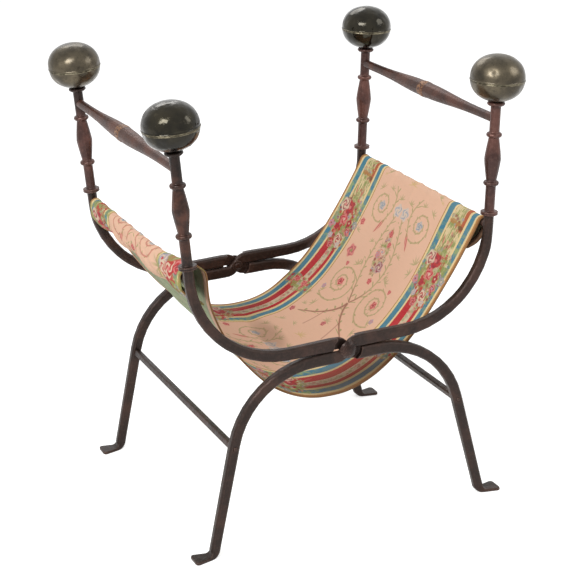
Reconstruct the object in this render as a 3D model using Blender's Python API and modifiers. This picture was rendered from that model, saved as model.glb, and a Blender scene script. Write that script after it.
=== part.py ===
"""Folding X-framed armchair: forged bars, turned posts, ball finials, arm rails and a slung cloth seat.

X runs across the chair, Y from its front to its back, Z up. The origin is on the floor, under the pivots.
"""
from math import atan2, ceil, cos, hypot, pi, radians, sin, sqrt, tan

import bmesh
import bpy
from mathutils import Vector

# Driving dimensions, in metres and degrees
CLEARANCE = 0.0003             # gap kept between touching pieces
BORE_SEGMENTS = 12
MERGE_DISTANCE = 0.00001       # points of a turned piece closer than this are one

FRAME_SPACING = 0.504          # front frame plane to back frame plane
PIVOT_HEIGHT = 0.3475
POST_BASE_HEIGHT = 0.5478      # floor to the joint between bar and post
POST_BASE_REACH = 0.2894       # middle of the chair to the post's axis at that joint
POST_LEAN = 3.6                # the posts lean outward
HEEL_REACH = 0.271             # middle of the chair to the corner of leg and foot
TOE_REACH = 0.310
LEG_SPLAY = 13.5

# Forged bars
BAR_THICKNESS = 0.017          # front to back
BAR_CHAMFER = 0.0032
BAR_END_WIDTH = 0.0175         # octagonal end under the post
BAR_END_LENGTH = 0.030
CURVE_WIDTH = 0.0185           # widths are measured in the frame's plane
PIVOT_WIDTH = 0.023
CROSSING_WIDTH = 0.020
ARCH_WIDTH = 0.0195
LEG_WIDTH = 0.0192
ANKLE_WIDTH = 0.0185
ANKLE_THICKNESS = 0.0155
ANKLE_LENGTH = 0.022
CURVE_RADIUS = 0.175
CROSSING_RADIUS = 0.016
ARCH_RADIUS = 0.165
HEEL_RADIUS = 0.014
TOE_THICKNESS = 0.0055
TOE_WIDTH = 0.036
TOE_CORNER = 0.006
TOE_CHAMFER = 0.0012
LAP_MARGIN = 0.005             # the lap reaches this far past the crossing
ARC_STEP = 8.0                 # degrees between sections on a curve
FILLET_ROOM = 0.98             # share of a straight that the rounded corners at its ends may take
HALVINGS = 40                  # steps of the search for a height along the bar

# Pivot rivets
RIVET_RADIUS = 0.005
RIVET_HEAD_RADIUS = 0.017
RIVET_HEAD_HEIGHT = 0.008
RIVET_PEEN_RADIUS = 0.0068
RIVET_PEEN_HEIGHT = 0.0032
RIVET_SEGMENTS = 16
RIVET_DOME_STEPS = 5
WASHER_RADIUS = 0.011
WASHER_THICKNESS = 0.003
PIVOT_PLAY = 0.0005            # radial play of the bars on the rivet

# Turned posts, from the base upward
SHAFT_RADIUS = 0.0093
BASE_RING_RADIUS = 0.0164
BASE_RING_HEIGHT = 0.007
BASE_RING_GROOVE = 0.0012
LOWER_SHAFT_LENGTH = 0.0470
RING_RADIUS = 0.0145
RING_HEIGHT = 0.009
BALUSTER_LENGTH = 0.0790
BALUSTER_RADIUS = 0.0152
BALUSTER_FULLNESS = 1.2        # power of the swelling: 1 is two plain cones, more is rounder
BALUSTER_FOOT_RADIUS = 0.0094
BALUSTER_HEAD_RADIUS = 0.0094
UPPER_SHAFT_LENGTH = 0.0480
TOP_DISC_RADIUS = 0.0162
TOP_DISC_HEIGHT = 0.0075
SPIGOT_RADIUS = 0.005
SPIGOT_LENGTH = 0.014
POST_TENON_RADIUS = 0.004
POST_TENON_LENGTH = 0.011
POST_SEGMENTS = 14
RING_STEPS = 4
BALUSTER_STEPS = 8

# Ball finials, each of two spun shells
BALL_RADIUS = 0.0485
BALL_HALF_HEIGHT = 0.0417
BALL_WALL = 0.002
SEAM_DROP = 0.004              # the seam lies this far below the ball's middle
SEAM_LIP = 0.0007              # the upper shell stands proud of the lower one
SEAM_LIP_HEIGHT = 0.0016
COLLAR_WALL = 0.0015           # inner collar that centres the upper shell
COLLAR_HEIGHT = 0.005
BALL_SEGMENTS = 18
BALL_STEPS = 5

# Arm rails
RAIL_END_RADIUS = 0.0083
RAIL_MIDDLE_RADIUS = 0.0150
RAIL_NECK = 4                  # power of the swelling: the higher, the longer its necks
RAIL_BAND_LENGTH = 0.014
RAIL_BAND_RISE = 0.0008
RAIL_GROOVE_LENGTH = 0.0022
RAIL_TENON_RADIUS = 0.0035
RAIL_TENON_LENGTH = 0.006
RAIL_SEGMENTS = 14
COPE_SEGMENTS = 20
RAIL_STEPS = 8

# Seat rods and stretchers
ROD_RADIUS = 0.0075
ROD_TENON_RADIUS = 0.004
ROD_TENON_LENGTH = 0.010
ROD_WALL = 0.0040              # metal left between the rod's bore and the post's tenon
ROD_SEGMENTS = 16
STRETCHER_HEIGHT = 0.2035
STRETCHER_WIDTH = 0.012
STRETCHER_CHAMFER = 0.0015
STRETCHER_TENON_RADIUS = 0.004
STRETCHER_PROUD = 0.001        # the peened tenon stands out of the leg

# Slung seat
CLOTH_THICKNESS = 0.0025
CLOTH_EDGE_GAP = 0.008         # cloth edge to the inner face of the bars
CLOTH_ROD_GAP = 0.0006
SAG_HEIGHT_FRONT = 0.257       # floor to the lowest line of the seat
SAG_HEIGHT_BACK = 0.274
SAG_LEFT_FRONT = 0.008         # the hollow lies this far to the left at the front edge
SAG_RIGHT_BACK = 0.004         # and this far to the right at the back edge
SLACK_FRONT_LEFT = 2.7         # power of the hanging curve: the higher, the fuller the hollow
SLACK_FRONT_RIGHT = 1.8
SLACK_BACK_LEFT = 2.6
SLACK_BACK_RIGHT = 1.9
SLEEVE_DROP = 0.055            # rod to the seam that closes the sleeve
SEAM_GAP = 0.0005
SLEEVE_FOLDS = 3
SLEEVE_FOLD_DEPTH = 0.004
SLEEVE_FALL = 0.6              # share of the drop in which the sleeve falls straight
SLEEVE_TUCK = 0.25             # share of the drop in which it runs along the seat to its seam
CLOTH_ROWS = 8
SAG_STEPS = 12
WRAP_STEPS = 7
SLEEVE_STEPS = 4

# Places worked out from the driving dimensions
FRAME_Y = FRAME_SPACING / 2
LEAN = radians(POST_LEAN)
SPLAY = radians(LEG_SPLAY)
CROSSING_OFFSET = PIVOT_WIDTH / 2 + CLEARANCE
LAP_RADIUS = hypot(CROSSING_OFFSET + PIVOT_WIDTH / 2, CROSSING_OFFSET + LAP_MARGIN)
OCTAGON_SHARE = (1 - tan(pi / 8)) / 2      # chamfer of a regular octagon, as a share of its width

BASE_RING_TOP = BASE_RING_HEIGHT
LOWER_RING_TOP = BASE_RING_TOP + LOWER_SHAFT_LENGTH + RING_HEIGHT
UPPER_RING_TOP = LOWER_RING_TOP + BALUSTER_LENGTH + RING_HEIGHT
DISC_BOTTOM = UPPER_RING_TOP + UPPER_SHAFT_LENGTH
DISC_TOP = DISC_BOTTOM + TOP_DISC_HEIGHT
RAIL_LEVEL = (UPPER_RING_TOP + DISC_BOTTOM) / 2
SPIGOT_HOLE_RADIUS = SPIGOT_RADIUS + CLEARANCE
BALL_POLE_RISE = BALL_HALF_HEIGHT * sqrt(1 - (SPIGOT_HOLE_RADIUS / BALL_RADIUS) ** 2)
BALL_LEVEL = DISC_TOP + CLEARANCE + BALL_POLE_RISE
COLLAR_TOP = COLLAR_HEIGHT - SEAM_DROP
ROD_DROP = POST_TENON_LENGTH + CLEARANCE + ROD_WALL + CLEARANCE + ROD_TENON_RADIUS

SIDES = {"left": -1, "right": 1}
ENDS = {"front": -1, "back": 1}


def material(name, colour, roughness, metallic):
    """A plain Principled surface."""
    surface = bpy.data.materials.new(name)
    surface.use_nodes = True
    shader = surface.node_tree.nodes["Principled BSDF"]
    shader.inputs["Base Color"].default_value = (*colour, 1)
    shader.inputs["Roughness"].default_value = roughness
    shader.inputs["Metallic"].default_value = metallic
    return surface


def empty_scene():
    """Remove what is there, and make the collections for the pieces and for their cutters."""
    for obj in list(bpy.data.objects):
        bpy.data.objects.remove(obj, do_unlink=True)
    parts = bpy.data.collections.new("faldstool")
    cutters = bpy.data.collections.new("faldstool_cutters")
    for collection in (parts, cutters):
        bpy.context.scene.collection.children.link(collection)
    return parts, cutters


PARTS, CUTTERS = empty_scene()
IRON = material("forged_iron", (0.050, 0.038, 0.032), 0.55, 0.8)
RAIL_IRON = material("rubbed_iron", (0.13, 0.062, 0.045), 0.45, 0.7)
BRASS = material("patinated_brass", (0.16, 0.12, 0.055), 0.30, 1.0)
CLOTH = material("brocade", (0.62, 0.42, 0.27), 0.9, 0.0)


def side_frame(name):
    """An empty on the pivot line, which carries one side frame."""
    frame = bpy.data.objects.new(name, None)
    frame.location = (0, 0, PIVOT_HEIGHT)
    PARTS.objects.link(frame)
    return frame


FRAMES = {side: side_frame(side + "_frame") for side in SIDES}


def place(obj, surface, side, location=(0, 0, 0), rotation=(0, 0, 0)):
    """Put a piece at its place in the chair and hang it on its side frame."""
    PARTS.objects.link(obj)
    obj.data.materials.append(surface)
    obj.location = Vector(location) - FRAMES[side].location
    obj.rotation_euler = rotation
    obj.parent = FRAMES[side]
    return obj


def cutter(obj, location=(0, 0, 0), rotation=(0, 0, 0)):
    """Put a hidden tool shape at its place in the chair."""
    CUTTERS.objects.link(obj)
    obj.location = location
    obj.rotation_euler = rotation
    obj.hide_render = True
    obj.display_type = "WIRE"
    return obj


def cut(obj, tool, operation="DIFFERENCE"):
    """Cut a tool shape out of a piece, or join it on."""
    boolean = obj.modifiers.new(tool.name, "BOOLEAN")
    boolean.operation = operation
    boolean.object = tool


def cylinder(name, radius, length, segments=BORE_SEGMENTS):
    """A closed cylinder along its own Z, centred on its origin."""
    mesh = bpy.data.meshes.new(name)
    shape = bmesh.new()
    sizes = {"radius1": radius, "radius2": radius, "depth": length}
    bmesh.ops.create_cone(shape, cap_ends=True, segments=segments, **sizes)
    shape.to_mesh(mesh)
    shape.free()
    return bpy.data.objects.new(name, mesh)


ALONG_Y = (-pi / 2, 0, 0)      # turns a shape's own +Z to the chair's +Y


def bore_along_y(name, radius, centre, start, end):
    """A cutter for a hole along Y, from one Y to the other, at the (x, z) centre."""
    tool = cylinder(name, radius, abs(end - start))
    return cutter(tool, (centre[0], (start + end) / 2, centre[1]), ALONG_Y)


def turned(name, profile, segments, closed=False):
    """A piece turned about its own Z. The profile of (radius, height) runs down its outer side."""
    mesh = bpy.data.meshes.new(name)
    edges = [(i, i + 1) for i in range(len(profile) - 1)]
    if closed:
        edges.append((len(profile) - 1, 0))
    mesh.from_pydata([(radius, 0, height) for radius, height in profile], edges, [])
    obj = bpy.data.objects.new(name, mesh)
    screw = obj.modifiers.new("turn", "SCREW")
    screw.steps = segments
    screw.render_steps = segments
    screw.use_merge_vertices = True
    screw.merge_threshold = MERGE_DISTANCE
    screw.use_smooth_shade = True
    return obj


class RoundedPath:
    """A run through corner points in the XZ plane, each inner corner rounded to its radius."""

    def __init__(self, corners, radii):
        legs = [(b[0] - a[0], b[1] - a[1]) for a, b in zip(corners, corners[1:])]
        lengths = [hypot(*leg) for leg in legs]
        headings = [atan2(leg[1], leg[0]) for leg in legs]
        turns = [(b - a + pi) % (2 * pi) - pi for a, b in zip(headings, headings[1:])]
        wanted = [0] + [r * tan(abs(t) / 2) for r, t in zip(radii, turns)] + [0]
        room = [min(1, FILLET_ROOM * leg / (a + b)) for leg, a, b in zip(lengths, wanted, wanted[1:])]
        trims = [0] + [w * min(a, b) for w, a, b in zip(wanted[1:-1], room, room[1:])] + [0]
        self.runs = []
        self.length = 0
        for i, (corner, leg, heading) in enumerate(zip(corners, lengths, headings)):
            start = (corner[0] + trims[i] * cos(heading), corner[1] + trims[i] * sin(heading))
            straight = leg - trims[i] - trims[i + 1]
            self.add(start, heading, straight, 0)
            if i < len(turns):
                radius = trims[i + 1] / tan(abs(turns[i]) / 2)
                curvature = turns[i] / abs(turns[i]) / radius
                self.add(self.at(self.length)[0], heading, radius * abs(turns[i]), curvature)

    def add(self, point, heading, length, curvature):
        self.runs.append((self.length, point, heading, length, curvature))
        self.length += length

    def start(self, run):
        return self.runs[run][0]

    def middle(self, run):
        return self.runs[run][0] + self.runs[run][3] / 2

    def at(self, distance):
        """Point and heading at a distance along the path."""
        begin, point, heading, length, curvature = [run for run in self.runs if run[0] <= distance][-1]
        travel = distance - begin
        if curvature == 0:
            return (point[0] + travel * cos(heading), point[1] + travel * sin(heading)), heading
        turned_to = heading + curvature * travel
        x = point[0] + (sin(turned_to) - sin(heading)) / curvature
        z = point[1] - (cos(turned_to) - cos(heading)) / curvature
        return (x, z), turned_to

    def at_height(self, height, low, high):
        """Distance between low and high, on a falling stretch, where the path has a height."""
        for _ in range(HALVINGS):
            middle = (low + high) / 2
            if self.at(middle)[0][1] > height:
                low = middle
            else:
                high = middle
        return (low + high) / 2

    def steps(self):
        """Distances of the ends of all runs, and of steps along the curved ones."""
        distances = [0]
        for begin, _, _, length, curvature in self.runs:
            count = max(1, ceil(abs(length * curvature) / radians(ARC_STEP)))
            distances += [begin + length * (i + 1) / count for i in range(count)]
        return distances


def bar_path():
    """Middle line of the bar that carries a left post: down the post, through the pivot, to a right foot."""
    upper = PIVOT_HEIGHT + CROSSING_OFFSET
    lower = PIVOT_HEIGHT - CROSSING_OFFSET
    floor = TOE_THICKNESS / 2
    curve_corner = POST_BASE_REACH - (POST_BASE_HEIGHT - upper) * tan(LEAN)
    arch_corner = HEEL_REACH - (lower - floor) * tan(SPLAY)
    corners = [
        (-POST_BASE_REACH + CLEARANCE * sin(LEAN), POST_BASE_HEIGHT - CLEARANCE * cos(LEAN)),
        (-curve_corner, upper),
        (-CROSSING_OFFSET, upper),
        (CROSSING_OFFSET, lower),
        (arch_corner, lower),
        (HEEL_REACH, floor),
        (TOE_REACH, floor),
    ]
    radii = [CURVE_RADIUS, CROSSING_RADIUS, CROSSING_RADIUS, ARCH_RADIUS, HEEL_RADIUS]
    return RoundedPath(corners, radii)


BAR = bar_path()
CURVE_RUN, CROSSING_RUN, ARCH_RUN, HEEL_RUN, TOE_RUN = 1, 4, 7, 9, 10      # runs of the path, in order
STRETCHER_DISTANCE = BAR.at_height(STRETCHER_HEIGHT, BAR.middle(ARCH_RUN), BAR.start(HEEL_RUN))


def bar_landmarks():
    """Distance, width in the frame's plane, thickness front to back, and chamfer, along the bar."""
    pivot = BAR.middle(CROSSING_RUN)
    shoulder = LAP_RADIUS + LAP_MARGIN
    octagon = BAR_END_WIDTH * OCTAGON_SHARE
    below_stretcher = STRETCHER_DISTANCE + STRETCHER_WIDTH
    ankle = max(BAR.start(HEEL_RUN) - ANKLE_LENGTH, below_stretcher + STRETCHER_WIDTH)
    tip = BAR.length
    return [
        (0, BAR_END_WIDTH, BAR_END_WIDTH, octagon),
        (BAR_END_LENGTH, BAR_END_WIDTH, BAR_END_WIDTH, octagon),
        (2 * BAR_END_LENGTH, CURVE_WIDTH, BAR_THICKNESS, BAR_CHAMFER),
        (BAR.middle(CURVE_RUN), CURVE_WIDTH, BAR_THICKNESS, BAR_CHAMFER),
        (pivot - shoulder, PIVOT_WIDTH, BAR_THICKNESS, BAR_CHAMFER),
        (pivot, CROSSING_WIDTH, BAR_THICKNESS, BAR_CHAMFER),
        (pivot + shoulder, PIVOT_WIDTH, BAR_THICKNESS, BAR_CHAMFER),
        (BAR.middle(ARCH_RUN), ARCH_WIDTH, BAR_THICKNESS, BAR_CHAMFER),
        (below_stretcher, LEG_WIDTH, BAR_THICKNESS, BAR_CHAMFER),
        (ankle, ANKLE_WIDTH, ANKLE_THICKNESS, BAR_CHAMFER),
        (BAR.start(HEEL_RUN), ANKLE_WIDTH, ANKLE_THICKNESS, BAR_CHAMFER),
        (BAR.start(TOE_RUN), TOE_THICKNESS, (ANKLE_THICKNESS + TOE_WIDTH) / 2, TOE_CHAMFER),
        (tip - TOE_CORNER, TOE_THICKNESS, TOE_WIDTH, TOE_CHAMFER),
        (tip - TOE_CORNER / 3, TOE_THICKNESS, TOE_WIDTH - TOE_CORNER / 2, TOE_CHAMFER),
        (tip, TOE_THICKNESS, TOE_WIDTH - 2 * TOE_CORNER, TOE_CHAMFER),
    ]


def size_at(distance, landmarks):
    """Width, thickness and chamfer between the two landmarks around a distance."""
    for before, after in zip(landmarks, landmarks[1:]):
        if distance <= after[0]:
            break
    share = min(1, max(0, (distance - before[0]) / (after[0] - before[0])))
    return [a + (b - a) * share for a, b in zip(before[1:], after[1:])]


def bar_sections(side):
    """Eight-sided sections along a bar, from its post to its toe."""
    landmarks = bar_landmarks()
    distances = sorted(BAR.steps() + [mark[0] for mark in landmarks])
    nearest = TOE_CORNER / 4
    sections = []
    last = -1
    for distance in distances:
        if distance - last < nearest and distance < BAR.length:
            continue
        last = distance
        (x, z), heading = BAR.at(distance)
        width, thickness, chamfer = size_at(distance, landmarks)
        a, b = width / 2, thickness / 2
        corners = [(a, b - chamfer), (a - chamfer, b), (chamfer - a, b), (-a, b - chamfer)]
        corners += [(-u, -v) for u, v in corners]
        ring = []
        for across, y in corners:
            ring_x = x - across * sin(heading)
            ring_z = max(0, z + across * cos(heading))
            ring.append((-side * ring_x, y, ring_z))
        sections.append(ring)
    return sections


def loft(name, sections):
    """A closed solid through a row of sections with equal numbers of points."""
    shape = bmesh.new()
    rings = [[shape.verts.new(point) for point in section] for section in sections]
    for ring, following in zip(rings, rings[1:]):
        for i in range(len(ring)):
            j = (i + 1) % len(ring)
            shape.faces.new((ring[i], ring[j], following[j], following[i]))
    shape.faces.new(rings[0])
    shape.faces.new(rings[-1])
    bmesh.ops.recalc_face_normals(shape, faces=shape.faces)
    mesh = bpy.data.meshes.new(name)
    shape.to_mesh(mesh)
    shape.free()
    return bpy.data.objects.new(name, mesh)


def post_point(side, level):
    """The (x, z) of a level on a post's axis, measured along it from the post's base."""
    x = POST_BASE_REACH + level * sin(LEAN)
    return side * x, POST_BASE_HEIGHT + level * cos(LEAN)


def rod_point(side):
    """The (x, z) of a seat rod, on the middle line of the bars under the post."""
    x, z = BAR.at(ROD_DROP)[0]
    return -side * x, z


def stretcher_point(post_side):
    """The (x, z) of the stretcher between the two legs that belong to one side's posts."""
    x, z = BAR.at(STRETCHER_DISTANCE)[0]
    return -post_side * x, z


def make_bar(side_name, end_name):
    """A forged bar: post socket, curve, half-lapped crossing, leg and flared foot."""
    side = SIDES[side_name]
    y = ENDS[end_name] * FRAME_Y
    inward = -ENDS[end_name]
    name = f"{end_name}_{side_name}_bar"
    bar = place(loft(name, bar_sections(side)), IRON, side_name, (0, y, 0))

    # Each bar keeps half its thickness at the crossing: the left bars the back half, the right the front
    pivot = (0, PIVOT_HEIGHT)
    front, back = y - BAR_THICKNESS, y + BAR_THICKNESS
    lap_floor = y - side * CLEARANCE / 2
    cut(bar, bore_along_y(name + "_lap", LAP_RADIUS, pivot, lap_floor, lap_floor + side * BAR_THICKNESS))
    cut(bar, bore_along_y(name + "_pivot", RIVET_RADIUS + PIVOT_PLAY, pivot, front, back))

    socket_depth = POST_TENON_LENGTH + CLEARANCE
    socket = cylinder(name + "_socket", POST_TENON_RADIUS + CLEARANCE, 2 * socket_depth)
    base_x, base_z = post_point(side, 0)
    cut(bar, cutter(socket, (base_x, y, base_z), (0, side * LEAN, 0)))

    inner_face = y + inward * BAR_END_WIDTH / 2
    rod_floor = inner_face - inward * (ROD_TENON_LENGTH + 2 * CLEARANCE)
    rod_mouth = inner_face + inward * ROD_TENON_LENGTH
    rod_hole = ROD_TENON_RADIUS + CLEARANCE
    cut(bar, bore_along_y(name + "_rod", rod_hole, rod_point(side), rod_floor, rod_mouth))
    leg_hole = STRETCHER_TENON_RADIUS + CLEARANCE
    cut(bar, bore_along_y(name + "_stretcher", leg_hole, stretcher_point(side), front, back))


def ring_bead(radius, bottom, height):
    """A round bead on a turned piece, from its top edge to its bottom edge."""
    bulge = height / 2
    points = []
    for i in range(RING_STEPS + 1):
        angle = pi / 2 - pi * i / RING_STEPS
        points.append((radius - bulge + bulge * cos(angle), bottom + bulge + bulge * sin(angle)))
    return points


def baluster(bottom):
    """The swelling between the two rings, from top to bottom."""
    points = []
    for i in range(BALUSTER_STEPS + 1):
        up = 1 - i / BALUSTER_STEPS
        neck = BALUSTER_FOOT_RADIUS + (BALUSTER_HEAD_RADIUS - BALUSTER_FOOT_RADIUS) * up
        swell = 1 - abs(2 * up - 1) ** BALUSTER_FULLNESS
        points.append((neck + (BALUSTER_RADIUS - neck) * swell, bottom + BALUSTER_LENGTH * up))
    return points


def base_ring():
    """The wide ring at the foot of the post, grooved round its rim, from top to bottom."""
    edge = BASE_RING_HEIGHT / 5
    middle = BASE_RING_HEIGHT / 2
    groove = BASE_RING_RADIUS - BASE_RING_GROOVE
    return [
        (BASE_RING_RADIUS - edge, BASE_RING_TOP),
        (BASE_RING_RADIUS, BASE_RING_TOP - edge),
        (groove, middle),
        (BASE_RING_RADIUS, edge),
        (BASE_RING_RADIUS - edge, 0),
    ]


def post_profile():
    """Profile of a post, from the spigot in the ball to the tenon in the bar."""
    disc_edge = TOP_DISC_HEIGHT / 3
    profile = [
        (0, DISC_TOP + SPIGOT_LENGTH),
        (SPIGOT_RADIUS, DISC_TOP + SPIGOT_LENGTH),
        (SPIGOT_RADIUS, DISC_TOP),
        (TOP_DISC_RADIUS - disc_edge, DISC_TOP),
        (TOP_DISC_RADIUS, DISC_TOP - disc_edge),
        (TOP_DISC_RADIUS, DISC_BOTTOM + disc_edge),
        (TOP_DISC_RADIUS - disc_edge, DISC_BOTTOM),
        (SHAFT_RADIUS, DISC_BOTTOM),
        (SHAFT_RADIUS, UPPER_RING_TOP),
    ]
    profile += ring_bead(RING_RADIUS, UPPER_RING_TOP - RING_HEIGHT, RING_HEIGHT)
    profile += baluster(LOWER_RING_TOP)
    profile += ring_bead(RING_RADIUS, LOWER_RING_TOP - RING_HEIGHT, RING_HEIGHT)
    profile += [(SHAFT_RADIUS, LOWER_RING_TOP - RING_HEIGHT), (SHAFT_RADIUS, BASE_RING_TOP)]
    profile += base_ring()
    profile += [(POST_TENON_RADIUS, 0), (POST_TENON_RADIUS, -POST_TENON_LENGTH), (0, -POST_TENON_LENGTH)]
    return profile


def make_post(side_name, end_name):
    """A turned post with a cross hole for the arm rail's tenon."""
    side = SIDES[side_name]
    y = ENDS[end_name] * FRAME_Y
    inward = -ENDS[end_name]
    name = f"{end_name}_{side_name}_post"
    x, z = post_point(side, 0)
    post = turned(name, post_profile(), POST_SEGMENTS)
    place(post, IRON, side_name, (x, y, z), (0, side * LEAN, 0))
    floor = y + inward * (SHAFT_RADIUS - RAIL_TENON_LENGTH - 2 * CLEARANCE)
    mouth = y + inward * (SHAFT_RADIUS + RAIL_TENON_LENGTH)
    hole = RAIL_TENON_RADIUS + CLEARANCE
    cut(post, bore_along_y(name + "_rail", hole, post_point(side, RAIL_LEVEL), floor, mouth))


def ellipse_point(inset, angle):
    """A point of the ball's outline, or of one inset from it, at an angle above the ball's middle."""
    return (BALL_RADIUS - inset) * cos(angle), (BALL_HALF_HEIGHT - inset) * sin(angle)


def ellipse_angle(inset, height):
    """Angle at which an outline has a height."""
    ratio = height / (BALL_HALF_HEIGHT - inset)
    return atan2(ratio, sqrt(1 - ratio * ratio))


def outline(inset, start, end):
    """Points along an outline from one angle to another."""
    return [ellipse_point(inset, start + (end - start) * i / BALL_STEPS) for i in range(BALL_STEPS + 1)]


def rim_bore():
    """Inner radius of the upper shell at its rim."""
    return ellipse_point(BALL_WALL, ellipse_angle(BALL_WALL, -SEAM_DROP))[0]


def upper_shell_profile():
    """The upper half of a ball with the small lip at its rim."""
    rim = -SEAM_DROP + CLEARANCE
    lip_top = rim + SEAM_LIP_HEIGHT
    outer = outline(0, pi / 2, ellipse_angle(0, lip_top))
    inner = outline(BALL_WALL, ellipse_angle(BALL_WALL, COLLAR_TOP), pi / 2)
    lip_radius = outer[-1][0] + SEAM_LIP
    outer[0] = (0, BALL_HALF_HEIGHT)
    inner[-1] = (0, BALL_HALF_HEIGHT - BALL_WALL)
    return outer + [(lip_radius, lip_top), (lip_radius, rim), (rim_bore(), rim)] + inner


def lower_shell_profile():
    """The lower half of a ball, with the collar inside its rim and the hole for the post's spigot."""
    rim = -SEAM_DROP
    inset = BALL_WALL + CLEARANCE + COLLAR_WALL
    collar_outside = rim_bore() - CLEARANCE
    hole = SPIGOT_HOLE_RADIUS
    outer_end = -atan2(sqrt(1 - (hole / BALL_RADIUS) ** 2), hole / BALL_RADIUS)
    inner_share = hole / (BALL_RADIUS - inset)
    inner_start = -atan2(sqrt(1 - inner_share ** 2), inner_share)
    outer = outline(0, ellipse_angle(0, rim), outer_end)
    inner = outline(inset, inner_start, ellipse_angle(inset, rim))
    collar_inside = inner[-1][0]
    return outer + inner + [(collar_inside, COLLAR_TOP), (collar_outside, COLLAR_TOP), (collar_outside, rim)]


def make_ball(side_name, end_name):
    """A ball finial: the lower shell sits on the post's top disc, the upper shell on the lower one."""
    side = SIDES[side_name]
    x, z = post_point(side, BALL_LEVEL)
    location = (x, ENDS[end_name] * FRAME_Y, z)
    rotation = (0, side * LEAN, 0)
    name = f"{end_name}_{side_name}_ball"
    lower = turned(name + "_lower", lower_shell_profile(), BALL_SEGMENTS, closed=True)
    place(lower, BRASS, side_name, location, rotation)
    upper = turned(name + "_upper", upper_shell_profile(), BALL_SEGMENTS)
    place(upper, BRASS, side_name, location, rotation)


def rail_half_profile():
    """Profile of half a rail, from its end to its middle, as (radius, distance from the middle)."""
    end = FRAME_Y - SHAFT_RADIUS / 3
    band = RAIL_BAND_LENGTH / 2
    points = [(0, end)]
    for i in range(RAIL_STEPS + 1):
        share = i / RAIL_STEPS
        swell = sin(pi / 2 * share) ** RAIL_NECK
        radius = RAIL_END_RADIUS + (RAIL_MIDDLE_RADIUS - RAIL_END_RADIUS) * swell
        points.append((radius, end + (band - end) * share))
    raised = RAIL_MIDDLE_RADIUS + RAIL_BAND_RISE
    groove = band - RAIL_GROOVE_LENGTH
    points += [(raised, band), (raised, groove + RAIL_GROOVE_LENGTH / 2), (RAIL_MIDDLE_RADIUS, groove)]
    points += [(raised, groove - RAIL_GROOVE_LENGTH / 2)]
    return points


def make_rail(side_name):
    """An arm rail, coped to the posts' shafts, with a tenon in each post."""
    side = SIDES[side_name]
    half = rail_half_profile()
    profile = half + [(radius, -along) for radius, along in reversed(half)]
    name = side_name + "_arm_rail"
    x, z = post_point(side, RAIL_LEVEL)
    rail = place(turned(name, profile, RAIL_SEGMENTS), RAIL_IRON, side_name, (x, 0, z), ALONG_Y)
    for end_name, end in ENDS.items():
        cope_name = f"{name}_{end_name}_cope"
        cope = cylinder(cope_name, SHAFT_RADIUS + CLEARANCE, UPPER_SHAFT_LENGTH, COPE_SEGMENTS)
        cut(rail, cutter(cope, (x, end * FRAME_Y, z), (0, side * LEAN, 0)))
    tenon_length = FRAME_SPACING - 2 * (SHAFT_RADIUS - RAIL_TENON_LENGTH)
    tenon = cutter(cylinder(name + "_tenon", RAIL_TENON_RADIUS, tenon_length), (x, 0, z), ALONG_Y)
    cut(rail, tenon, "UNION")


def make_rod(side_name):
    """A seat rod between the two bars of one side, shouldered down to a tenon at each end."""
    x, z = rod_point(SIDES[side_name])
    shoulder = FRAME_Y - BAR_END_WIDTH / 2 - CLEARANCE
    end = shoulder + ROD_TENON_LENGTH
    profile = [
        (0, end),
        (ROD_TENON_RADIUS, end),
        (ROD_TENON_RADIUS, shoulder),
        (ROD_RADIUS, shoulder),
    ]
    profile += [(radius, -along) for radius, along in reversed(profile)]
    place(turned(side_name + "_seat_rod", profile, ROD_SEGMENTS), IRON, side_name, (x, 0, z), ALONG_Y)


def make_stretcher(post_side, stretcher_name):
    """A square stretcher between two legs, with peened tenons through them."""
    side = SIDES[post_side]
    x, z = stretcher_point(side)
    heading = BAR.at(STRETCHER_DISTANCE)[1]
    name = stretcher_name + "_stretcher"
    body_length = FRAME_SPACING - BAR_THICKNESS - 2 * CLEARANCE
    mesh = bpy.data.meshes.new(name)
    shape = bmesh.new()
    bmesh.ops.create_cube(shape, size=1)
    bmesh.ops.scale(shape, vec=(STRETCHER_WIDTH, body_length, STRETCHER_WIDTH), verts=shape.verts)
    shape.to_mesh(mesh)
    shape.free()
    tilt = side * (heading + pi / 2)
    stretcher = place(bpy.data.objects.new(name, mesh), IRON, post_side, (x, 0, z), (0, tilt, 0))
    bevel = stretcher.modifiers.new("chamfer", "BEVEL")
    bevel.width = STRETCHER_CHAMFER
    bevel.segments = 1
    tenon_length = FRAME_SPACING + BAR_THICKNESS + 2 * STRETCHER_PROUD
    tenon = cylinder(name + "_tenon", STRETCHER_TENON_RADIUS, tenon_length)
    cut(stretcher, cutter(tenon, (x, 0, z), ALONG_Y), "UNION")


def rivet_profile():
    """Profile of a pivot rivet: domed head, shank through both bars and the washer, peened end."""
    seat = BAR_THICKNESS / 2 + CLEARANCE
    dome_radius = (RIVET_HEAD_RADIUS ** 2 + RIVET_HEAD_HEIGHT ** 2) / (2 * RIVET_HEAD_HEIGHT)
    dome_angle = atan2(RIVET_HEAD_RADIUS, dome_radius - RIVET_HEAD_HEIGHT)
    profile = []
    for i in range(RIVET_DOME_STEPS + 1):
        angle = dome_angle * i / RIVET_DOME_STEPS
        height = seat + RIVET_HEAD_HEIGHT - dome_radius * (1 - cos(angle))
        profile.append((dome_radius * sin(angle), height))
    peen_top = -seat - WASHER_THICKNESS - CLEARANCE
    peen_bottom = peen_top - RIVET_PEEN_HEIGHT
    profile += [
        (RIVET_RADIUS, seat),
        (RIVET_RADIUS, peen_top),
        (RIVET_PEEN_RADIUS, peen_top),
        (RIVET_PEEN_RADIUS, peen_top - RIVET_PEEN_HEIGHT / 2),
        (RIVET_PEEN_RADIUS - RIVET_PEEN_HEIGHT / 2, peen_bottom),
        (0, peen_bottom),
    ]
    return profile


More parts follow.
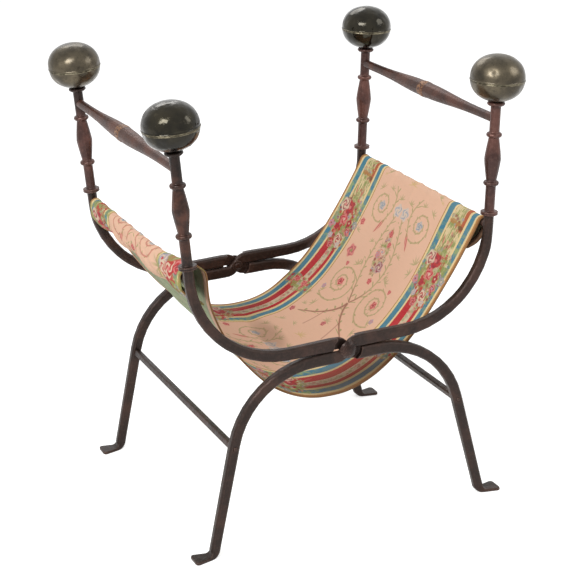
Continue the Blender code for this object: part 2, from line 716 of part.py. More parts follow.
def make_pivot(end_name):
    """The rivet of one crossing, headed on the chair's outside, with a washer under its peened end."""
    end = ENDS[end_name]
    y = end * FRAME_Y
    outward = (-end * pi / 2, 0, 0)
    centre = (0, y, PIVOT_HEIGHT)
    rivet = turned(end_name + "_pivot_rivet", rivet_profile(), RIVET_SEGMENTS)
    place(rivet, IRON, "left", centre, outward)
    top = -BAR_THICKNESS / 2 - CLEARANCE
    bottom = top - WASHER_THICKNESS
    hole = RIVET_RADIUS + CLEARANCE
    edge = WASHER_THICKNESS / 4
    washer_profile = [
        (WASHER_RADIUS, top),
        (WASHER_RADIUS, bottom + edge),
        (WASHER_RADIUS - edge, bottom),
        (hole, bottom),
        (hole, top),
    ]
    washer = turned(end_name + "_pivot_washer", washer_profile, RIVET_SEGMENTS, closed=True)
    place(washer, IRON, "left", centre, outward)


def mix(a, b, share):
    return a + (b - a) * share


def half_seat(side, depth):
    """Middle line of half the seat cloth, from its lowest point out to the sleeve's seam."""
    rod_x, rod_z = rod_point(1)
    wrap = ROD_RADIUS + CLOTH_ROD_GAP + CLOTH_THICKNESS / 2
    low_x = side * mix(-SAG_LEFT_FRONT, SAG_RIGHT_BACK, depth)
    low_z = mix(SAG_HEIGHT_FRONT, SAG_HEIGHT_BACK, depth)
    if side < 0:
        slack = mix(SLACK_FRONT_LEFT, SLACK_BACK_LEFT, depth)
    else:
        slack = mix(SLACK_FRONT_RIGHT, SLACK_BACK_RIGHT, depth)

    # The cloth leaves the rod where the hanging curve touches it
    leave = atan2(rod_x - low_x, (rod_z - low_z) * slack)
    leave_x = rod_x - wrap * cos(leave)
    leave_z = rod_z + wrap * sin(leave)
    span = leave_x - low_x
    rise = leave_z - low_z
    shares = [i / SAG_STEPS for i in range(SAG_STEPS)]
    points = [(low_x + span * share, low_z + rise * share ** slack) for share in shares]
    for i in range(WRAP_STEPS + 1):
        angle = pi - leave - (pi - leave) * i / WRAP_STEPS
        points.append((rod_x + wrap * cos(angle), rod_z + wrap * sin(angle)))

    # The sleeve hangs from the outside of the rod and turns in to its seam under the cloth
    seam_share = ((rod_z - SLEEVE_DROP - low_z) / rise) ** (1 / slack)
    slope = atan2(rise * slack * seam_share ** (slack - 1), span)
    offset = CLOTH_THICKNESS + SEAM_GAP
    end = Vector((low_x + span * seam_share, rod_z - SLEEVE_DROP))
    end += offset * Vector((sin(slope), -cos(slope)))
    along = Vector((cos(slope), sin(slope)))
    bulge = SLEEVE_FOLD_DEPTH * (1 + cos(2 * pi * SLEEVE_FOLDS * depth)) / 2
    start = Vector(points[-1])
    leaving = start + Vector((bulge, -SLEEVE_FALL * SLEEVE_DROP))
    arriving = end + SLEEVE_TUCK * SLEEVE_DROP * along + Vector((bulge, -bulge))
    for i in range(1, SLEEVE_STEPS + 1):
        t = i / SLEEVE_STEPS
        away = 1 - t
        point = away ** 3 * start + 3 * away ** 2 * t * leaving + 3 * away * t ** 2 * arriving + t ** 3 * end
        points.append(tuple(point))
    return [(side * x, z) for x, z in points]


def make_seat():
    """The slung seat: one cloth, hollowed between the rods, with a sleeve round each of them."""
    half_width = FRAME_Y - BAR_END_WIDTH / 2 - CLOTH_EDGE_GAP
    shape = bmesh.new()
    rows = []
    for i in range(CLOTH_ROWS + 1):
        depth = i / CLOTH_ROWS
        y = mix(-half_width, half_width, depth)
        line = half_seat(-1, depth)[:0:-1] + half_seat(1, depth)
        rows.append([shape.verts.new((x, y, z)) for x, z in line])
    for row, following in zip(rows, rows[1:]):
        for i in range(len(row) - 1):
            shape.faces.new((row[i], row[i + 1], following[i + 1], following[i]))
    mesh = bpy.data.meshes.new("seat_sling")
    shape.to_mesh(mesh)
    shape.free()
    mesh.shade_smooth()
    seat = place(bpy.data.objects.new("seat_sling", mesh), CLOTH, "left")
    solid = seat.modifiers.new("cloth", "SOLIDIFY")
    solid.thickness = CLOTH_THICKNESS
    solid.offset = 0
    solid.use_even_offset = True


for side_key in SIDES:
    for end_key in ENDS:
        make_bar(side_key, end_key)
        make_post(side_key, end_key)
        make_ball(side_key, end_key)
    make_rail(side_key)
    make_rod(side_key)
make_stretcher("left", "right")
make_stretcher("right", "left")
for end_key in ENDS:
    make_pivot(end_key)
make_seat()
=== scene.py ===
"""Looks of the folding armchair: forged iron, patinated brass balls and a slung seat of brocade.

Everything is in metres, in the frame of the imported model: X across the chair, Y from front to back, Z up.
"""
import random
from math import acos, asin, atan2, copysign, cos, exp, pi, radians, sin, sqrt

import bpy
import numpy as np
from mathutils import Matrix, Vector, noise


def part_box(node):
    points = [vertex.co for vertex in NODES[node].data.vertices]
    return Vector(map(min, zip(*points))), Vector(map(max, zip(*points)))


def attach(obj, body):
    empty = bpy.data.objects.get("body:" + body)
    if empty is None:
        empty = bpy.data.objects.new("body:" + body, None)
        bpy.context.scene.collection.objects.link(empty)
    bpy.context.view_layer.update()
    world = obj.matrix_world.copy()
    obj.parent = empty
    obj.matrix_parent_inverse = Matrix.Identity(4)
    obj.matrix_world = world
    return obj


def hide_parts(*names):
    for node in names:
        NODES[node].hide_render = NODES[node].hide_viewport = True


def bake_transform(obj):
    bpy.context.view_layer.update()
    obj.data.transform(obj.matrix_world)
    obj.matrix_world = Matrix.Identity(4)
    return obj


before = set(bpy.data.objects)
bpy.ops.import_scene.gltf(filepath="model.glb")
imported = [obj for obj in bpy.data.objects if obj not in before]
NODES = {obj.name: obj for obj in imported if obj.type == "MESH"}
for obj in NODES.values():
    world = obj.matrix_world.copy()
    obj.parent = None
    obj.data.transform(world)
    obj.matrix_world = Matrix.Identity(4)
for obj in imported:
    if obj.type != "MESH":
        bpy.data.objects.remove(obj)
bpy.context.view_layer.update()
SIDES = {"left": -1, "right": 1}
ENDS = ("front", "back")

# Camera: the photograph's viewpoint, with angles in degrees
FOCAL_LENGTH = 108.63
SENSOR = 36.0
AZIMUTH = -23.718
ELEVATION = 20.359
ROLL = -2.051
DISTANCE = 3.2192
TARGET = (0, 0, 0.446)
TARGET_SHIFT = (-0.0008, -0.0577)

# Ball finials
BALL_RADIUS = 0.0485
BALL_HALF_HEIGHT = 0.0417
BALL_FULLNESS = 0.93  # 1 is an ellipsoid, less is squarer
BALL_WALL = 0.002
BALL_LEAN = 3.6  # degrees, outwards
BALL_HOLE = 0.0053
SEAM_DROP = 0.004
SEAM_GAP = 0.0003
LIP_RISE = 0.0007
LIP_HEIGHT = 0.0016
BALL_SEGMENTS = 96
BALL_RINGS = 30
DENTS_PER_BALL = 16
DENT_DEPTH = (0.0003, 0.0011)
DENT_WIDTH = (0.004, 0.010)
WORN_BALLS = ("front_right_ball", "back_left_ball")  # the other two are darker

# Iron, by kind of piece: spacing of the fine mesh, and how many times its edges are softened
FINISHES = {
    "bar": (0.0013, 2), "post": (0.0009, 2), "rail": (0.0012, 4), "rivet": (0.0006, 2),
    "washer": (0.0007, 2), "stretcher": (0.0012, 2), "rod": (0.0014, 2),
}
WELD_DISTANCE = 0.00001
BLACK_ABOVE = 0.708  # height above which the two left posts are painted near black
BAND_HALF_WIDTH = 0.010  # of the scuffed band in the middle of an arm rail

# Seat cloth
CLOTH_THICKNESS = 0.0013
CLOTH_HALF_WIDTH = 0.23525
ROD_GAP = 0.0012  # between the rod and the cloth
SAG_HEIGHT = {"front": 0.257, "back": 0.274}
SAG_OFFSET = {"front": -0.008, "back": 0.004}
SLACK = {
    ("left", "front"): 2.6, ("right", "front"): 1.8,
    ("left", "back"): 2.6, ("right", "back"): 1.9,
}
SLEEVE_DROP = {"left": 0.055, "right": 0.042}  # rod to the seam that closes the sleeve
SLEEVE_LENGTH = 0.098  # cloth from the top of the rod to that seam
SLEEVE_FALL = 0.6  # share of that drop over which it heads down from the rod
SLEEVE_TUCK = 0.25  # share over which it comes in along the seat
SLEEVE_LOOSE = 0.004  # how far the sleeves stand off on the whole
SLEEVE_FULL = 0.006  # how much further halfway along the rod
SLEEVE_FOLD = 0.004  # height of their loose folds
SLEEVE_FOLDS = 3.2  # how many there are along a rod
SLEEVE_FOLD_START = {"left": 0.6, "right": 2.0}
SEAT_REACH = 0.432  # cloth from the lowest line of the seat to the top of a rod
PUFF = 0.025  # the most that the cloth stands off the left rod at the front
PUFF_REACH = 0.026  # how far below the rod
PUFF_WIDTH = 0.09  # how far from the front edge
HEM = 0.016  # width of the hem turned under along the front and back edges
GRID = 0.004  # spacing of the cloth's points
SEAT_LINES = 25  # lines worked out from the front edge to the back edge
HANG_STEPS = 80
WRAP_STEPS = 12
FLAP_STEPS = 40
GATHER_SPACING = (0.047, 0.029)  # of the coarse and the fine gathers at the rods
GATHER_HEIGHT = 0.0010
GATHER_REACH = 0.035
CREASE_DEPTH = 0.0080  # of the crease beside the lowest line
CREASE = (-0.022, 0.017)  # its middle and half width along the cloth
CREASE_RIDGE = (0.014, 0.020)  # the same for the ridge next to it
CREASE_ACROSS = (0.05, 0.09)  # the same across the cloth
RIPPLE_SPACING = 0.036  # of the slanting ripples of the sleeves
RIPPLE_HEIGHT = 0.0018
RIPPLE_START = 0.012  # below the top of the rod
BROAD_HEIGHT = 0.0026  # of the cloth's broad unevenness
FINE_HEIGHT = 0.0011
DRAPE_HEIGHT = 0.0020  # of the long soft folds
SEAM_REACH = 0.02  # the folds flatten this far from the sleeves' seams

# Brocade: places across the cloth (from its middle line) and along it (from its lowest line)
REPEAT = 0.390  # length of one repeat of the pattern
REPEAT_START = 0.022
WANDER = 0.009  # the pattern wanders this far to either side as it goes up the seat
WANDER_START = 0.20  # where it lies furthest to the front
TRACE = 1e-9  # of a layer's colour, in the places for the next layer
RIB_SPACING = 0.0011
THREAD_SPACING = 0.0008
STEM_WIDTH = 0.0015
LEAF_BREADTH = 0.0080
LEAF_SLANT = 0.9
FIELD_HALF_WIDTH = 0.127
BORDER_WIDTH = 0.105
BORDER_MARGIN = 0.008  # plain cloth that counts with a border on either side
LEFT_SLEEVE = -0.415  # along the cloth, where the left sleeve starts
STALKS_START = 0.330  # along the cloth, where the right bouquets' stalks hide the red stripes
STALKS_BOUND = 0.384  # where they are bound; from there up, gold half hides the narrow red stripe
STALKS = (0.0380, 0.0733)  # across the border
STALKS_BELOW = (0.0280, 0.0385)  # the same, for those that are only below the bow

# Colours, linear
PEACH = (0.77, 0.485, 0.34)
CREAM = (0.76, 0.59, 0.30)
WHITE = (0.70, 0.55, 0.40)
GOLD = (0.42, 0.19, 0.055)
BLUE = (0.045, 0.205, 0.30)
LEAF_BLUE = (0.26, 0.36, 0.16)
RED = (0.46, 0.020, 0.032)
DARK_RED = (0.27, 0.03, 0.05)
RED_STEM = (0.44, 0.075, 0.070)
PINK = (0.66, 0.20, 0.19)
LILAC = (0.38, 0.34, 0.42)
LEAF = (0.26, 0.30, 0.095)
OLIVE = (0.34, 0.31, 0.125)
YELLOW = (0.58, 0.42, 0.14)
STRAW = (0.70, 0.56, 0.32)
BOW = (0.13, 0.065, 0.025)
# Painted shade along the fold of the turned hem
FOLD_SHADE = (0.24, 0.115, 0.04)
# Painted shade: brown laid over the brocade in darker patches near the seat's lowest line and at a corner
PAINTED_SHADE = (0.10, 0.050, 0.025)
SAGE = (0.36, 0.42, 0.25)
FADED = (0.72, 0.46, 0.32)
SLUBS = (0.45, 0.34, 0.22)
PALE_GREY = (0.52, 0.47, 0.44)
SLATE = (0.22, 0.30, 0.37)
DUSK = (0.30, 0.36, 0.40)
IVORY = (0.66, 0.55, 0.47)
ASH = (0.34, 0.37, 0.42)
BRICK = (0.44, 0.09, 0.10)
MAUVE = (0.50, 0.32, 0.32)
REVERSE_FLOATS = (0.27, 0.31, 0.17)
REVERSE_STRIPES = (0.33, 0.30, 0.20)
REVERSE_PATCHES = (0.44, 0.36, 0.24)
SCUFFED = (0.34, 0.17, 0.08)
BLACKENED = (0.009, 0.007, 0.006)
BRASS_SPOTS = (0.022, 0.018, 0.012)
BRASS_SCUFFS = (0.20, 0.165, 0.10)
RIM_DARK = (0.07, 0.060, 0.040)
RIM_BRIGHT = (0.20, 0.175, 0.12)
BLOOMS = [
    (0.0, RED), (0.20, PINK), (0.28, LEAF), (0.56, WHITE), (0.63, DARK_RED), (0.80, LILAC), (0.87, OLIVE),
]

# Studio
FLOOR_HALF_SIZE = 6.0
FLOOR_GREY = 0.82
FLOOR_GLOW = 0.63  # only where the floor is seen, so that it shows white but keeps its shadows
WORLD_LIGHT = 0.46  # strength of the white surroundings as light; where seen they are white
LAMP_AIM = (0, 0, 0.4)
LAMPS = (  # name, place, size and power
    ("key", (-2.2, -1.6, 2.8), (1.6, 1.2), 88),
    ("fill", (2.4, -1.6, 2.2), (1.4, 1.4), 24),
    ("back", (0.3, 2.6, 2.8), (2.0, 1.0), 20),
)


def node(tree, kind, **settings):
    """Add a shader node and set its properties."""
    made = tree.nodes.new("ShaderNode" + kind)
    for name, value in settings.items():
        setattr(made, name, value)
    return made


def feed(tree, slot, value):
    """Link a varying value to a slot, or write a constant into it."""
    if isinstance(value, Number):
        tree.links.new(value.socket, slot)
    elif isinstance(value, tuple):
        slot.default_value = (*value, 1) if len(slot.default_value) == 4 else value
    else:
        slot.default_value = value


class Number:
    """A number or colour that varies over a surface. Sums of such numbers add nodes to its material."""

    def __init__(self, tree, socket):
        self.tree = tree
        self.socket = socket

    def math(self, operation, *others):
        step = node(self.tree, "Math", operation=operation)
        for slot, value in zip(step.inputs, (self, *others)):
            feed(self.tree, slot, value)
        return Number(self.tree, step.outputs[0])

    def __add__(self, other):
        return self.math("ADD", other)

    def __sub__(self, other):
        return self.math("SUBTRACT", other)

    def __mul__(self, other):
        return self.math("MULTIPLY", other)

    def __truediv__(self, other):
        return self.math("DIVIDE", other)

    def __abs__(self):
        return self.math("ABSOLUTE")

    def less_from(self, constant):
        """A constant less this number."""
        return self.math("MULTIPLY_ADD", -1.0, constant)

    def ramp(self, low, high):
        """0 below low, 1 above high, smooth between; the other way round if low is the higher."""
        step = node(self.tree, "MapRange", interpolation_type="SMOOTHSTEP")
        feed(self.tree, step.inputs["Value"], self)
        turned = low > high
        step.inputs["From Min"].default_value = min(low, high)
        step.inputs["From Max"].default_value = max(low, high)
        step.inputs["To Min"].default_value = 1.0 if turned else 0.0
        step.inputs["To Max"].default_value = 0.0 if turned else 1.0
        return Number(self.tree, step.outputs["Result"])

    def below(self, limit, soft=0.0005):
        return self.ramp(limit + soft, limit - soft)

    def above(self, limit, soft=0.0005):
        return self.ramp(limit - soft, limit + soft)


def paint(tree, under, over, share):
    """Lay one colour over another."""
    step = node(tree, "Mix", data_type="RGBA")
    feed(tree, step.inputs["Factor"], share)
    feed(tree, step.inputs["A"], under)
    feed(tree, step.inputs["B"], over)
    return Number(tree, step.outputs["Result"])


def colour_bands(tree, value, bands):
    """Colours by a number: bands is a list of (where it starts, colour)."""
    step = node(tree, "ValToRGB")
    ramp = step.color_ramp
    ramp.interpolation = "CONSTANT"
    while len(ramp.elements) < len(bands):
        ramp.elements.new(1.0)
    for element, (start, colour) in zip(ramp.elements, bands):
        element.position = start
        element.color = (*colour, 1)
    feed(tree, step.inputs["Fac"], value)
    return Number(tree, step.outputs["Color"])


def parts(tree, vector):
    """The three numbers of a vector."""
    step = node(tree, "SeparateXYZ")
    feed(tree, step.inputs[0], vector)
    return [Number(tree, output) for output in step.outputs]


def vector_math(tree, operation, *values):
    step = node(tree, "VectorMath", operation=operation)
    for slot, value in zip(step.inputs, values):
        feed(tree, slot, value)
    return Number(tree, step.outputs[0])


def grain(tree, scale, place, spread, detail=4.0, roughness=0.55):
    """Smooth noise from 0 to 1."""
    step = node(tree, "TexNoise")
    step.inputs["Scale"].default_value = scale
    step.inputs["Detail"].default_value = detail
    step.inputs["Roughness"].default_value = roughness
    feed(tree, step.inputs["Vector"], place)
    return Number(tree, step.outputs["Fac"]).ramp(*spread)


def object_place(tree):
    """The place of a point in its own object."""
    return Number(tree, node(tree, "TexCoord").outputs["Object"])


def surface(name):
    """A new material: its node tree and its Principled shader."""
    made = bpy.data.materials.new(name)
    made.use_nodes = True
    tree = made.node_tree
    return made, tree, tree.nodes["Principled BSDF"]


def bump(tree, shader, height, distance, strength=1.0):
    step = node(tree, "Bump")
    step.inputs["Strength"].default_value = strength
    step.inputs["Distance"].default_value = distance
    feed(tree, step.inputs["Height"], height)
    for slot in ("Normal", "Coat Normal"):
        tree.links.new(step.outputs["Normal"], shader.inputs[slot])


def iron(name, dark, brown, worn, brown_share, roughness, relief, scuffed=0.0, black_above=1.0):
    """Forged iron under an old patina: brown patches, rubbed edges, hammered and pitted.

    It may be scuffed to either side of the chair's middle, and blackened above a height on the left.
    """
    made, tree, shader = surface(name)
    place = object_place(tree)
    patches = grain(tree, 22.0, place, brown_share)
    colour = paint(tree, dark, brown, patches)
    streaks = grain(tree, 160.0, place, (0.45, 0.75), detail=6.0)
    colour = paint(tree, colour, worn, streaks * 0.25)
    edges = Number(tree, node(tree, "NewGeometry").outputs["Pointiness"]).ramp(0.505, 0.56)
    colour = paint(tree, colour, worn, edges * 0.7)
    x, y, z = parts(tree, place)
    # The left posts are painted near black above a height.
    dark_top = z.above(black_above, 0.012) * x.below(0.0)
    colour = paint(tree, colour, BLACKENED, dark_top * 0.75)
    if scuffed:
        middle = abs(y).below(scuffed, scuffed / 3)
        scuffs = grain(tree, 260.0, place, (0.4, 0.6), detail=5.0)
        colour = paint(tree, colour, SCUFFED, middle * scuffs * 0.8)
    feed(tree, shader.inputs["Base Color"], colour)
    shader.inputs["Metallic"].default_value = 0.35
    shader.inputs["Specular IOR Level"].default_value = 0.3
    feed(tree, shader.inputs["Roughness"], streaks * 0.16 + roughness)
    pits = grain(tree, 420.0, place, (0.3, 0.6), detail=3.0)
    hammered = grain(tree, 70.0, place, (0.2, 0.8), detail=2.0)
    bump(tree, shader, hammered + pits * 0.25, relief)
    return made


def brass(name, dark, light, roughness, coat, relief, hammering):
    """Brass balls under an olive patina, polished by handling."""
    made, tree, shader = surface(name)
    place = object_place(tree)
    clouds = grain(tree, 26.0, place, (0.32, 0.7), detail=5.0)
    colour = paint(tree, dark, light, clouds)
    spots = grain(tree, 190.0, place, (0.52, 0.74), detail=5.0, roughness=0.7)
    colour = paint(tree, colour, BRASS_SPOTS, spots * 0.7)
    scuffs = grain(tree, 75.0, place, (0.58, 0.78), detail=6.0, roughness=0.7)
    colour = paint(tree, colour, BRASS_SCUFFS, scuffs * 0.35)
    feed(tree, shader.inputs["Base Color"], colour)
    shader.inputs["Metallic"].default_value = 0.85
    feed(tree, shader.inputs["Roughness"], spots * 0.16 + clouds * 0.08 + roughness)
    shader.inputs["Coat Weight"].default_value = coat
    shader.inputs["Coat Roughness"].default_value = 0.09
    ripples = grain(tree, 55.0, place, (0.2, 0.8), detail=1.0)
    hammered = grain(tree, 230.0, place, (0.25, 0.75), detail=2.0)
    bump(tree, shader, ripples + spots * -0.1 + hammered * hammering, relief)
    return made


def rubbed_brass():
    """The bright rim of the seam round each ball."""
    made, tree, shader = surface("rubbed_brass")
    place = object_place(tree)
    wear = grain(tree, 120.0, place, (0.35, 0.65), detail=5.0)
    feed(tree, shader.inputs["Base Color"], paint(tree, RIM_DARK, RIM_BRIGHT, wear))
    shader.inputs["Metallic"].default_value = 0.9
    shader.inputs["Roughness"].default_value = 0.32
    return made


def oval(x, y, middle, half_width, half_length):
    """0 at the middle of an oval and 1 at its rim, rising with the square of the distance."""
    dx = (x - middle[0]) / half_width
    dy = (y - middle[1]) / half_length
    return dx * dx + dy * dy


class Pattern:
    """The brocade's drawing: places on the flat cloth, and motifs painted one over the other."""

    def __init__(self, tree, place, colour):
        self.tree = tree
        self.place = place
        self.across, self.along = parts(tree, place)[:2]
        self.repeat = (self.along - REPEAT_START).math("WRAP", REPEAT, 0.0)
        self.wide = abs(self.across)
        edge = self.wide - FIELD_HALF_WIDTH
        right = self.across.above(0.0, 0.0001)
        self.border = edge * right + edge.less_from(BORDER_WIDTH) * right.less_from(1.0)
        self.stem_colour = OLIVE
        self.colour = colour

    def paint(self, colour, share):
        self.colour = paint(self.tree, self.colour, colour, share)

    def noise(self, scale, spread, stretch=1.0):
        vector = vector_math(self.tree, "MULTIPLY", self.place, (stretch, 1.0, 1.0))
        return grain(self.tree, scale, vector, spread)

    def polar(self, x, middle, turn=0.0):
        """Distance from a middle, and the angle round it from a direction."""
        dx = x - middle[0]
        dy = self.repeat - middle[1]
        angle = dy.math("ARCTAN2", dx)
        if turn:
            angle = (angle - turn).math("WRAP", pi, -pi)
        return dx.math("MULTIPLY_ADD", dx, dy * dy).math("SQRT"), angle

    def stem(self, offset, colour, shown):
        """A thin line where offset is zero."""
        self.paint(colour, abs(offset).below(STEM_WIDTH, STEM_WIDTH) * shown * 0.7)

    def vine(self, offset, run, shown, length=0.011, every=0.021):
        """A stem with leaves that slant forward in turn on either side; run is the way along it."""
        away = abs(offset)
        place = ((run / every + offset.math("SIGN") * 0.25).math("FRACT") - 0.5) * every
        share = away / (self.noise(45.0, (0.35, 0.65)) * length + length * 0.3)
        room = share * share.less_from(1.0) * LEAF_BREADTH - abs(place - away * LEAF_SLANT)
        self.paint(LEAF, room.above(0.0002, 0.0006) * shown * 0.7)
        self.stem(offset, self.stem_colour, shown)

    def spiral(self, middle, inner, growth, turn, start, sweep):
        """A scroll that winds out from its inner radius by a sweep, turning one way or the other."""
        distance, angle = self.polar(self.wide, middle)
        wound = (distance / inner).math("LOGARITHM", 2.718282) / growth
        lag = (wound - angle * turn + start * turn) / (2 * pi)
        off_turns = lag - lag.math("ROUND")
        offset = off_turns * distance * (2 * pi * growth)
        on_scroll = wound - off_turns * (2 * pi)
        shown = on_scroll.above(0.0, 0.05) * on_scroll.below(sweep, 0.05)
        self.vine(offset, on_scroll * 0.03, shown, length=0.005)

    def flower(self, x, middle, radius, outer, inner, heart=None, petals=5):
        """A flower of rounded petals, its folds winding in to its heart, which may have its own colour."""
        distance, angle = self.polar(x, middle)
        rim = angle.math("MULTIPLY_ADD", petals, middle[1] * 90).math("COSINE")
        fill = distance / rim.math("MULTIPLY_ADD", 0.12 * radius, radius)
        self.paint(outer, fill.below(0.94, 0.12) * 0.92)
        folds = (fill * 10 + angle * 3).math("SINE").above(0.2, 0.5)
        self.paint(inner, fill.below(0.82, 0.1) * folds * 0.9)
        if heart:
            self.paint(heart, fill.below(0.24, 0.08) * 0.9)

    def sprig(self, x, middle, length, turn, leaves=9, spread=1.5, colour=LEAF):
        """A fan of narrow leaves."""
        distance, swing = self.polar(x, middle, turn)
        rim = (swing * leaves).math("COSINE")
        fill = distance / rim.math("MULTIPLY_ADD", 0.32 * length, 0.68 * length)
        self.paint(colour, fill.below(0.6, 0.3) * abs(swing).below(spread, 0.1) * 0.6)

    def bud(self, x, middle, length, turn):
        """A long closed flower, streaked along its petals."""
        distance, swing = self.polar(x, middle, turn)
        forward = distance * swing.math("COSINE") / length
        sideways = distance * swing.math("SINE") / length
        room = (forward * forward).less_from(1.0) * 0.22 - abs(sideways)
        shown = room.above(0.04, 0.05)
        self.paint(PINK, shown * 0.5)
        streaks = (sideways * 28.0 + forward * 4.0).math("SINE").above(0.1, 0.5)
        self.paint(RED, shown * streaks * 0.7)
        self.paint(LEAF, shown * forward.below(-0.5, 0.2) * 0.7)

    def grow_blooms(self):
        """Small spots of colour for the posies, and the unevenness of their outlines."""
        spots = node(self.tree, "TexVoronoi", voronoi_dimensions="2D")
        spots.inputs["Scale"].default_value = 120.0
        feed(self.tree, spots.inputs["Vector"], self.place)
        tone = node(self.tree, "SeparateColor")
        self.tree.links.new(spots.outputs["Color"], tone.inputs[0])
        strokes = self.noise(380.0, (0.2, 0.8)) * 0.15
        self.blooms = colour_bands(self.tree, Number(self.tree, tone.outputs[0]) * 0.85 + strokes, BLOOMS)
        self.bloom_share = Number(self.tree, spots.outputs["Distance"]).below(0.46, 0.16)
        self.ragged = self.noise(120.0, (0.2, 0.8)) * 0.7 - 0.35

    def posy(self, x, middle, half_width, half_length, amount=1.0):
        """A patch of small flowers and leaves."""
        patch = (oval(x, self.repeat, middle, half_width, half_length) + self.ragged).below(1.0, 0.15)
        self.paint(LEAF, patch * (amount * 0.4))
        self.paint(self.blooms, patch * self.bloom_share * amount)


def draw_ground(pattern):
    """The plain field and the striped borders.

    Beside the bouquets the blue stripes turn green, and above them stalks hide the red ones.
    """
    stripes = [
        (0.0, PEACH), (0.068, GOLD), (0.088, CREAM), (0.136, BLUE), (0.243, CREAM), (0.297, RED),
        (0.382, WHITE), (0.508, RED), (0.672, CREAM), (0.719, BLUE), (0.857, CREAM), (0.909, GOLD),
        (0.928, PEACH),
    ]
    greened = [(start, LEAF_BLUE if colour == BLUE else colour) for start, colour in stripes]
    frayed = pattern.noise(700.0, (0.2, 0.8)) * 0.0016 - 0.0008
    place = (pattern.border + frayed + BORDER_MARGIN) / (BORDER_WIDTH + 2 * BORDER_MARGIN)
    plain = colour_bands(pattern.tree, place, stripes)
    green = colour_bands(pattern.tree, place, greened)
    mottled = pattern.noise(70.0, (0.42, 0.6))
    near = abs(pattern.repeat - 0.285).below(0.075, 0.03) * 0.85 + 0.12
    pattern.colour = paint(pattern.tree, plain, green, near * mottled)
    stalks = paint(pattern.tree, STRAW, LEAF, pattern.noise(60.0, (0.46, 0.58), 4.0))
    above = pattern.along.above(STALKS_START, 0.010)
    under_bow = above * pattern.along.below(STALKS_BOUND, 0.004)
    for (inner, outer), colour, shown in (
        (STALKS, stalks, above), (STALKS_BELOW, GOLD, above * 0.5), (STALKS_BELOW, stalks, under_bow),
    ):
        pattern.paint(colour, pattern.border.above(inner) * pattern.border.below(outer) * shown)
    pattern.paint(GOLD, pattern.wide.above(FIELD_HALF_WIDTH + BORDER_WIDTH - 0.001, 0.0008))
    # Painted shade: a dark brown line along the fold of the hem
    pattern.paint(FOLD_SHADE, pattern.wide.above(CLOTH_HALF_WIDTH - 0.002, 0.0008))
    pattern.paint(PEACH, pattern.wide.above(CLOTH_HALF_WIDTH + 0.003, 0.0008))


def draw_scrolls(pattern):
    """Stems and scrolls of the field, alike on both sides of its middle line and red on the left sleeve."""
    wide, up = pattern.wide, pattern.repeat
    pattern.stem_colour = paint(pattern.tree, OLIVE, RED_STEM, pattern.along.below(LEFT_SLEEVE, 0.02))
    crossing = up - 0.130
    share = (crossing / 0.232).math("MAXIMUM", 0.0).math("MINIMUM", 1.0)
    almond = (share.math("POWER", 0.85) * pi).math("SINE") * 0.037
    shown = crossing.above(0.0, 0.001) * crossing.below(0.200, 0.001)
    offset = (wide - almond) * 0.85
    pattern.vine(offset, up, shown)
    pattern.stem(offset, DARK_RED, shown * crossing.below(0.03, 0.025))

    fall = crossing.less_from(0.0)
    branch = fall * (fall * 14.8 + 0.1)
    shown = fall.above(0.002, 0.001) * fall.below(0.078, 0.001)
    offset = (wide - branch) * 0.55
    pattern.vine(offset, up, shown, every=0.014)
    pattern.stem(offset, DARK_RED, shown)
    tendril = (up - 0.088) * 0.2
    shown = up.above(0.036, 0.001) * up.below(0.086, 0.001)
    pattern.stem(wide - 0.033 + tendril, DARK_RED, shown * 0.7)

    lean = up - 0.345
    shown = up.above(0.312, 0.001) * up.below(0.384, 0.001)
    pattern.vine((wide - lean * lean * 10.7 - 0.036) * 0.9, up, shown)
    pattern.bud(wide, (0.056, 0.294), 0.023, -1.08)

    pattern.spiral((0.070, 0.155), 0.009, 0.125, 1, radians(200), radians(830))
    pattern.spiral((0.076, 0.334), 0.011, 0.135, -1, radians(40), radians(520))


def draw_flowers(pattern):
    """Flowers of the field, most of them alike on both sides of its middle line."""
    wide, across = pattern.wide, pattern.across
    pattern.flower(wide, (0.070, 0.155), 0.0095, PINK, RED, DARK_RED)
    pattern.flower(wide, (0.076, 0.334), 0.0105, PALE_GREY, SLATE, DUSK)
    pattern.flower(wide, (0.0145, 0.340), 0.0145, IVORY, ASH, WHITE)
    pattern.flower(across, (0.102, 0.220), 0.0150, PINK, BRICK, LEAF)
    pattern.flower(across, (0.116, 0.284), 0.0085, PINK, RED)
    pattern.flower(wide, (0.117, 0.047), 0.0075, PINK, DARK_RED)
    pattern.flower(wide, (0.088, 0.194), 0.0055, PINK, RED, petals=3)
    pattern.flower(wide, (0.104, 0.127), 0.0065, LILAC, PINK)
    pattern.flower(across, (0.000, 0.064), 0.0070, PINK, DARK_RED)


def draw_sprigs(pattern):
    """Sprays of leaves in the field."""
    wide, across = pattern.wide, pattern.across
    for sprig in (
        ((0.053, 0.258), 0.014, 1.2), ((0.056, 0.203), 0.019, 1.0), ((0.046, 0.214), 0.014, -0.4),
        ((0.096, 0.118), 0.016, 0.6), ((0.082, 0.084), 0.018, 0.3), ((0.104, 0.070), 0.014, 1.4),
        ((0.098, 0.012), 0.016, 1.0), ((0.060, 0.022), 0.014, 2.0), ((0.100, 0.366), 0.018, 0.9),
        ((0.066, 0.372), 0.016, 1.8), ((0.020, 0.362), 0.018, 1.3), ((0.010, 0.262), 0.016, 0.9),
    ):
        pattern.sprig(wide, *sprig)
    pattern.sprig(across, (-0.118, 0.266), 0.026, 1.0, leaves=11)
    pattern.sprig(across, (-0.114, 0.244), 0.020, 0.4)
    pattern.sprig(across, (0.118, 0.262), 0.016, 1.9)
    pattern.sprig(across, (0.0, 0.072), 0.020, 1.6, leaves=11, spread=2.2, colour=OLIVE)
    pattern.sprig(across, (0.004, 0.010), 0.024, 1.5, leaves=11, spread=1.8, colour=YELLOW)
    pattern.sprig(wide, (0.112, 0.004), 0.010, 1.2, colour=YELLOW)


